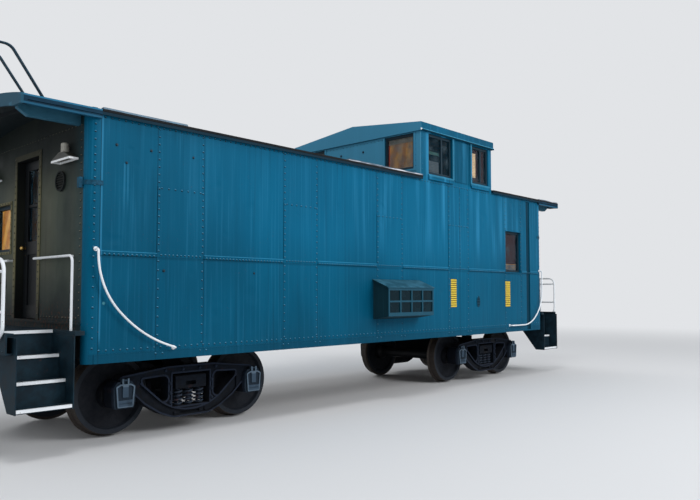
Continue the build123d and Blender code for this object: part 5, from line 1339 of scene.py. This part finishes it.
def hang_blinds(pitch):
    """Slatted and plain blinds and a rail inside the windows of both sides."""
    tree = slat_pattern()
    brown, rails = Shape(), Shape()
    left, right = SIDE_WINDOW[:2]
    # Name, two places along the car, foot, head, distance from the car's middle, and finish
    blinds = (
        ("side", left, right, 1.91, 2.02, 1.3035, "grey_blind"),
        ("cupola_1", 0.95, 1.35, 3.35, 3.56, 1.323, "grey_blind"),
        ("cupola_2", 2.17, 2.35, 3.44, 3.87, 1.323, "cream_blind"),
    )
    for tag, side in SIDES:
        for name, a, b, low, high, depth, look in blinds:
            values = {
                "Count": int((high - low) / pitch), "Pitch": pitch, "Size": (b - a, 0.0025, pitch * 0.86),
                "Start": ((a + b) / 2, side * depth, low + pitch / 2), "Tilt": (-side * 0.5, 0, 0),
                "Finish": finish(look),
            }
            settle(grown(f"blind_{name}_{tag}", tree, values))
        brown.bar((left, side * 1.295, 2.02), (right, side * 1.301, 2.59), 0.002)
        brown.bar((2.12, side * 1.305, 3.34), (2.63, side * 1.311, CUPOLA_TOP_Z), 0.002)
        rails.bar((0.94, side * 1.314, 3.66), (1.36, side * 1.322, 3.71), 0.002)
    brown.done("brown_blinds", "brown_blind", "sash_paint")
    rails.done("cupola_rails", "green_bar", "sash_paint")


class CABOOSE_OT_window_fittings(Operator):
    """Hang boards and blinds inside the windows and set the screws round them"""

    bl_idname = "caboose.window_fittings"
    bl_label = "Blinds and boards"

    def execute(self, context):
        hang_boards()
        hang_blinds(context.scene.caboose_trim.slat_pitch)
        screws, inset = Rows(), 0.019
        for side in (-1, 1):

            def level(depth, window):
                x0, x1, z0, z1 = window
                for z in (z0 + inset, z1 - inset):
                    screws.run((x0 + 0.02, side * depth, z), (x1 - 0.02, side * depth, z), out=(0, side, 0))

            level(SASH_Y, SIDE_WINDOW)
            x0, x1, z0, z1 = SIDE_WINDOW
            for x in (x0 + inset, x1 - inset):
                screws.run((x, side * SASH_Y, z0 + 0.06), (x, side * SASH_Y, z1 - 0.06), out=(0, side, 0))
            for window in CUPOLA_WINDOWS:
                level(CUPOLA_SASH_Y, window)
        size = {"Pitch": 0.12, "Diameter": context.scene.caboose_fixings.screw_d, "Height": 0.003}
        rows_piece("window_screws", screws, rivet_pattern(), "sash_paint", "sash_paint", **size)
        return {"FINISHED"}


class CABOOSE_OT_door_fittings(Operator):
    """Add key plates, kick plates and their screws to the end doors"""

    bl_idname = "caboose.door_fittings"
    bl_label = "Door fittings"

    def execute(self, context):
        size = {"Pitch": 0.085, "Diameter": context.scene.caboose_fixings.screw_d, "Height": 0.0025}
        for letter, end in ENDS:
            door = f"door_{letter}"
            face, y = end * DOOR_FACE_X, -end * KNOB_Y
            key_face, kick_face = face + end * 0.003, face + end * 0.002
            plates, screws = Shape(), Rows()
            plates.bar((face, y - 0.026, 1.9), (key_face, y + 0.026, 2.06))
            plates.bar((face, -0.27, 1.225), (kick_face, 0.27, 1.33))
            plates.done(f"door_plates_{letter}", "door_paint", "door_paint", door)
            screws.spots([(key_face, y, z) for z in (1.912, 2.048)], (end, 0, 0))
            for z in (1.24, 1.315):
                screws.run((kick_face, -0.255, z), (kick_face, 0.255, z), out=(end, 0, 0))
            name = f"door_screws_{letter}"
            rows_piece(name, screws, rivet_pattern(), "door_paint", "door_paint", door, **size)
        return {"FINISHED"}


class CABOOSE_OT_truck_bolts(Operator):
    """Bolt the trucks' frames and set the inner coils of their springs"""

    bl_idname = "caboose.truck_bolts"
    bl_label = "Truck bolts and inner springs"

    def execute(self, context):
        sizes = context.scene.caboose_fixings
        bolt = {"Diameter": sizes.bolt_d, "Height": sizes.bolt_h}
        coil = {"Radius": 0.025, "Height": 0.183, "Turns": 10.0, "Wire": 0.0072}
        bolts, coils = bolt_pattern(), coil_pattern()
        for letter, end in ENDS:
            centre, truck = end * TRUCK_X, f"truck_{letter}"
            rows, springs = Rows(), Rows()
            # On one side of the truck: beside the springs, below them, and along the frame's top
            spots = [(dx, 1.05, z) for dx in (-0.271, 0.271) for z in (0.3, 0.4, 0.5)]
            spots += [(dx, 1.02, 0.176) for dx in (-0.2, 0.2)]
            spots += [(dx, 1.041, 0.647) for dx in (-0.33, -0.11, 0.11, 0.33)]
            for side in (-1, 1):
                rows.spots([(centre + dx, side * y, z) for dx, y, z in spots], (0, side, 0))
            rows_piece(f"truck_bolts_{letter}", rows, bolts, "cast_iron", "cast_steel", truck, **bolt)
            for dx in (-COIL_X, 0.0, COIL_X):
                springs.spots([(centre + dx, side * COIL_Y, COIL_Z) for side in (-1, 1)], (0, 0, 1))
            rows_piece(f"inner_springs_{letter}", springs, coils, "spring_steel", "spring_steel", truck, **coil)
        return {"FINISHED"}


def lay_floor(stage):
    """A pale floor that fades into the backdrop far from the car."""
    half = 150.0
    mesh = bpy.data.meshes.new("floor")
    corners = [(x * half, y * half, FLOOR_Z) for x, y in ((-1, -1), (1, -1), (1, 1), (-1, 1))]
    mesh.from_pydata(corners, [], [(0, 1, 2, 3)])
    floor = bpy.data.objects.new("floor_plane", mesh)
    bpy.context.scene.collection.objects.link(floor)
    f = Finish("studio_floor", Base_Color=tuple(stage.floor), Roughness=0.9)
    far = f.fade(f.reach(f.x, f.y), 9.0, 26.0)
    glow = f.node("ShaderNodeEmission", None, {"Color": tuple(stage.sky), "Strength": 1.0})
    mixed = f.node("ShaderNodeMixShader", None, {0: far, 1: Wire(f, f.shader.outputs[0]), 2: glow})
    f.feed(f.tree.nodes["Material Output"].inputs[0], mixed)
    mesh.materials.append(f.material)


def hang_backdrop(stage):
    """A world of even light, which the camera, gloss and glass see as the plain backdrop."""
    world = bpy.data.worlds.new("studio")
    bpy.context.scene.world = world
    world.use_nodes = True
    sky = Graph(world.node_tree)
    light = world.node_tree.nodes["Background"]
    sky.feed(light.inputs["Color"], (0.94, 0.97, 1.0))
    sky.feed(light.inputs["Strength"], stage.sky_light)
    plain = sky.node("ShaderNodeBackground", None, {"Color": tuple(stage.sky)})
    seen = sky.node("ShaderNodeLightPath", output="Is Camera Ray")
    for other in ("Is Glossy Ray", "Is Transmission Ray"):
        seen = seen.larger(sky.node("ShaderNodeLightPath", output=other))
    mixed = sky.node("ShaderNodeMixShader", None, {0: seen, 1: Wire(sky, light.outputs[0]), 2: plain})
    sky.feed(world.node_tree.nodes["World Output"].inputs[0], mixed)


def hang_lamps(stage):
    """Large soft lamps, all of them disks."""
    for name, (place, target, width, share) in LAMPS.items():
        data = bpy.data.lights.new(name, "AREA")
        data.shape = "DISK"
        data.size = width
        data.energy = stage.key_light * share
        lamp = bpy.data.objects.new(name, data)
        bpy.context.scene.collection.objects.link(lamp)
        lamp.location = place
        lamp.rotation_euler = (Vector(target) - Vector(place)).to_track_quat("-Z", "Y").to_euler()


def set_camera(stage):
    """The camera that stands where the photograph was taken from."""
    data = bpy.data.cameras.new("camera")
    data.lens = stage.focal
    data.sensor_width = 36.0
    data.shift_y = CAMERA_SHIFT
    data.clip_end = 400
    camera = bpy.data.objects.new("camera", data)
    bpy.context.scene.collection.objects.link(camera)
    yaw, pitch = radians(CAMERA_YAW), radians(CAMERA_PITCH)
    ahead = Vector((cos(yaw) * cos(pitch), sin(yaw) * cos(pitch), sin(pitch)))
    right = Vector((sin(yaw), -cos(yaw), 0))
    above = right.cross(ahead)
    turn = Matrix((right, above, -ahead)).transposed()
    camera.matrix_world = Matrix.Translation(CAMERA_AT) @ turn.to_4x4()
    bpy.context.scene.camera = camera


class CABOOSE_OT_stage(Operator):
    """Set the floor, the backdrop, the soft lamps and the camera"""

    bl_idname = "caboose.stage"
    bl_label = "Stage"

    def execute(self, context):
        stage = context.scene.caboose_stage
        lay_floor(stage)
        hang_backdrop(stage)
        hang_lamps(stage)
        set_camera(stage)
        context.scene.view_settings.view_transform = "Standard"
        return {"FINISHED"}


class CABOOSE_PT_panel(Panel):
    """Sizes, paints and build steps of the caboose"""

    bl_idname = "CABOOSE_PT_panel"
    bl_label = "Steel caboose"
    bl_space_type = "VIEW_3D"
    bl_region_type = "UI"
    bl_category = "Caboose"

    def draw(self, context):
        for name, group in GROUPS.items():
            box = self.layout.box()
            for setting in group.__annotations__:
                box.prop(getattr(context.scene, name), setting)
        for step in STEPS:
            self.layout.operator(step.bl_idname)


GROUPS = {
    "caboose_paints": CaboosePaints,
    "caboose_fixings": CabooseFixings,
    "caboose_trim": CabooseTrim,
    "caboose_stage": CabooseStage,
}
STEPS = (
    CABOOSE_OT_stage,
    CABOOSE_OT_paint,
    CABOOSE_OT_rivet_sides,
    CABOOSE_OT_rivet_ends,
    CABOOSE_OT_trim_roof,
    CABOOSE_OT_trim_cupola,
    CABOOSE_OT_reflectors,
    CABOOSE_OT_step_edges,
    CABOOSE_OT_window_fittings,
    CABOOSE_OT_door_fittings,
    CABOOSE_OT_truck_bolts,
)
CLASSES = (*GROUPS.values(), *STEPS, CABOOSE_PT_panel)


def register():
    """Adds the classes, and the settings to the scene."""
    for group in CLASSES:
        bpy.utils.register_class(group)
    for name, group in GROUPS.items():
        setattr(bpy.types.Scene, name, PointerProperty(type=group))


def unregister():
    """Takes the settings and the classes out again."""
    for name in GROUPS:
        delattr(bpy.types.Scene, name)
    for group in reversed(CLASSES):
        bpy.utils.unregister_class(group)


def main():
    """Builds the looks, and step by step."""
    register()
    for step in STEPS:
        area, name = step.bl_idname.split(".")
        getattr(getattr(bpy.ops, area), name)()


if __name__ == "__main__":
    main()
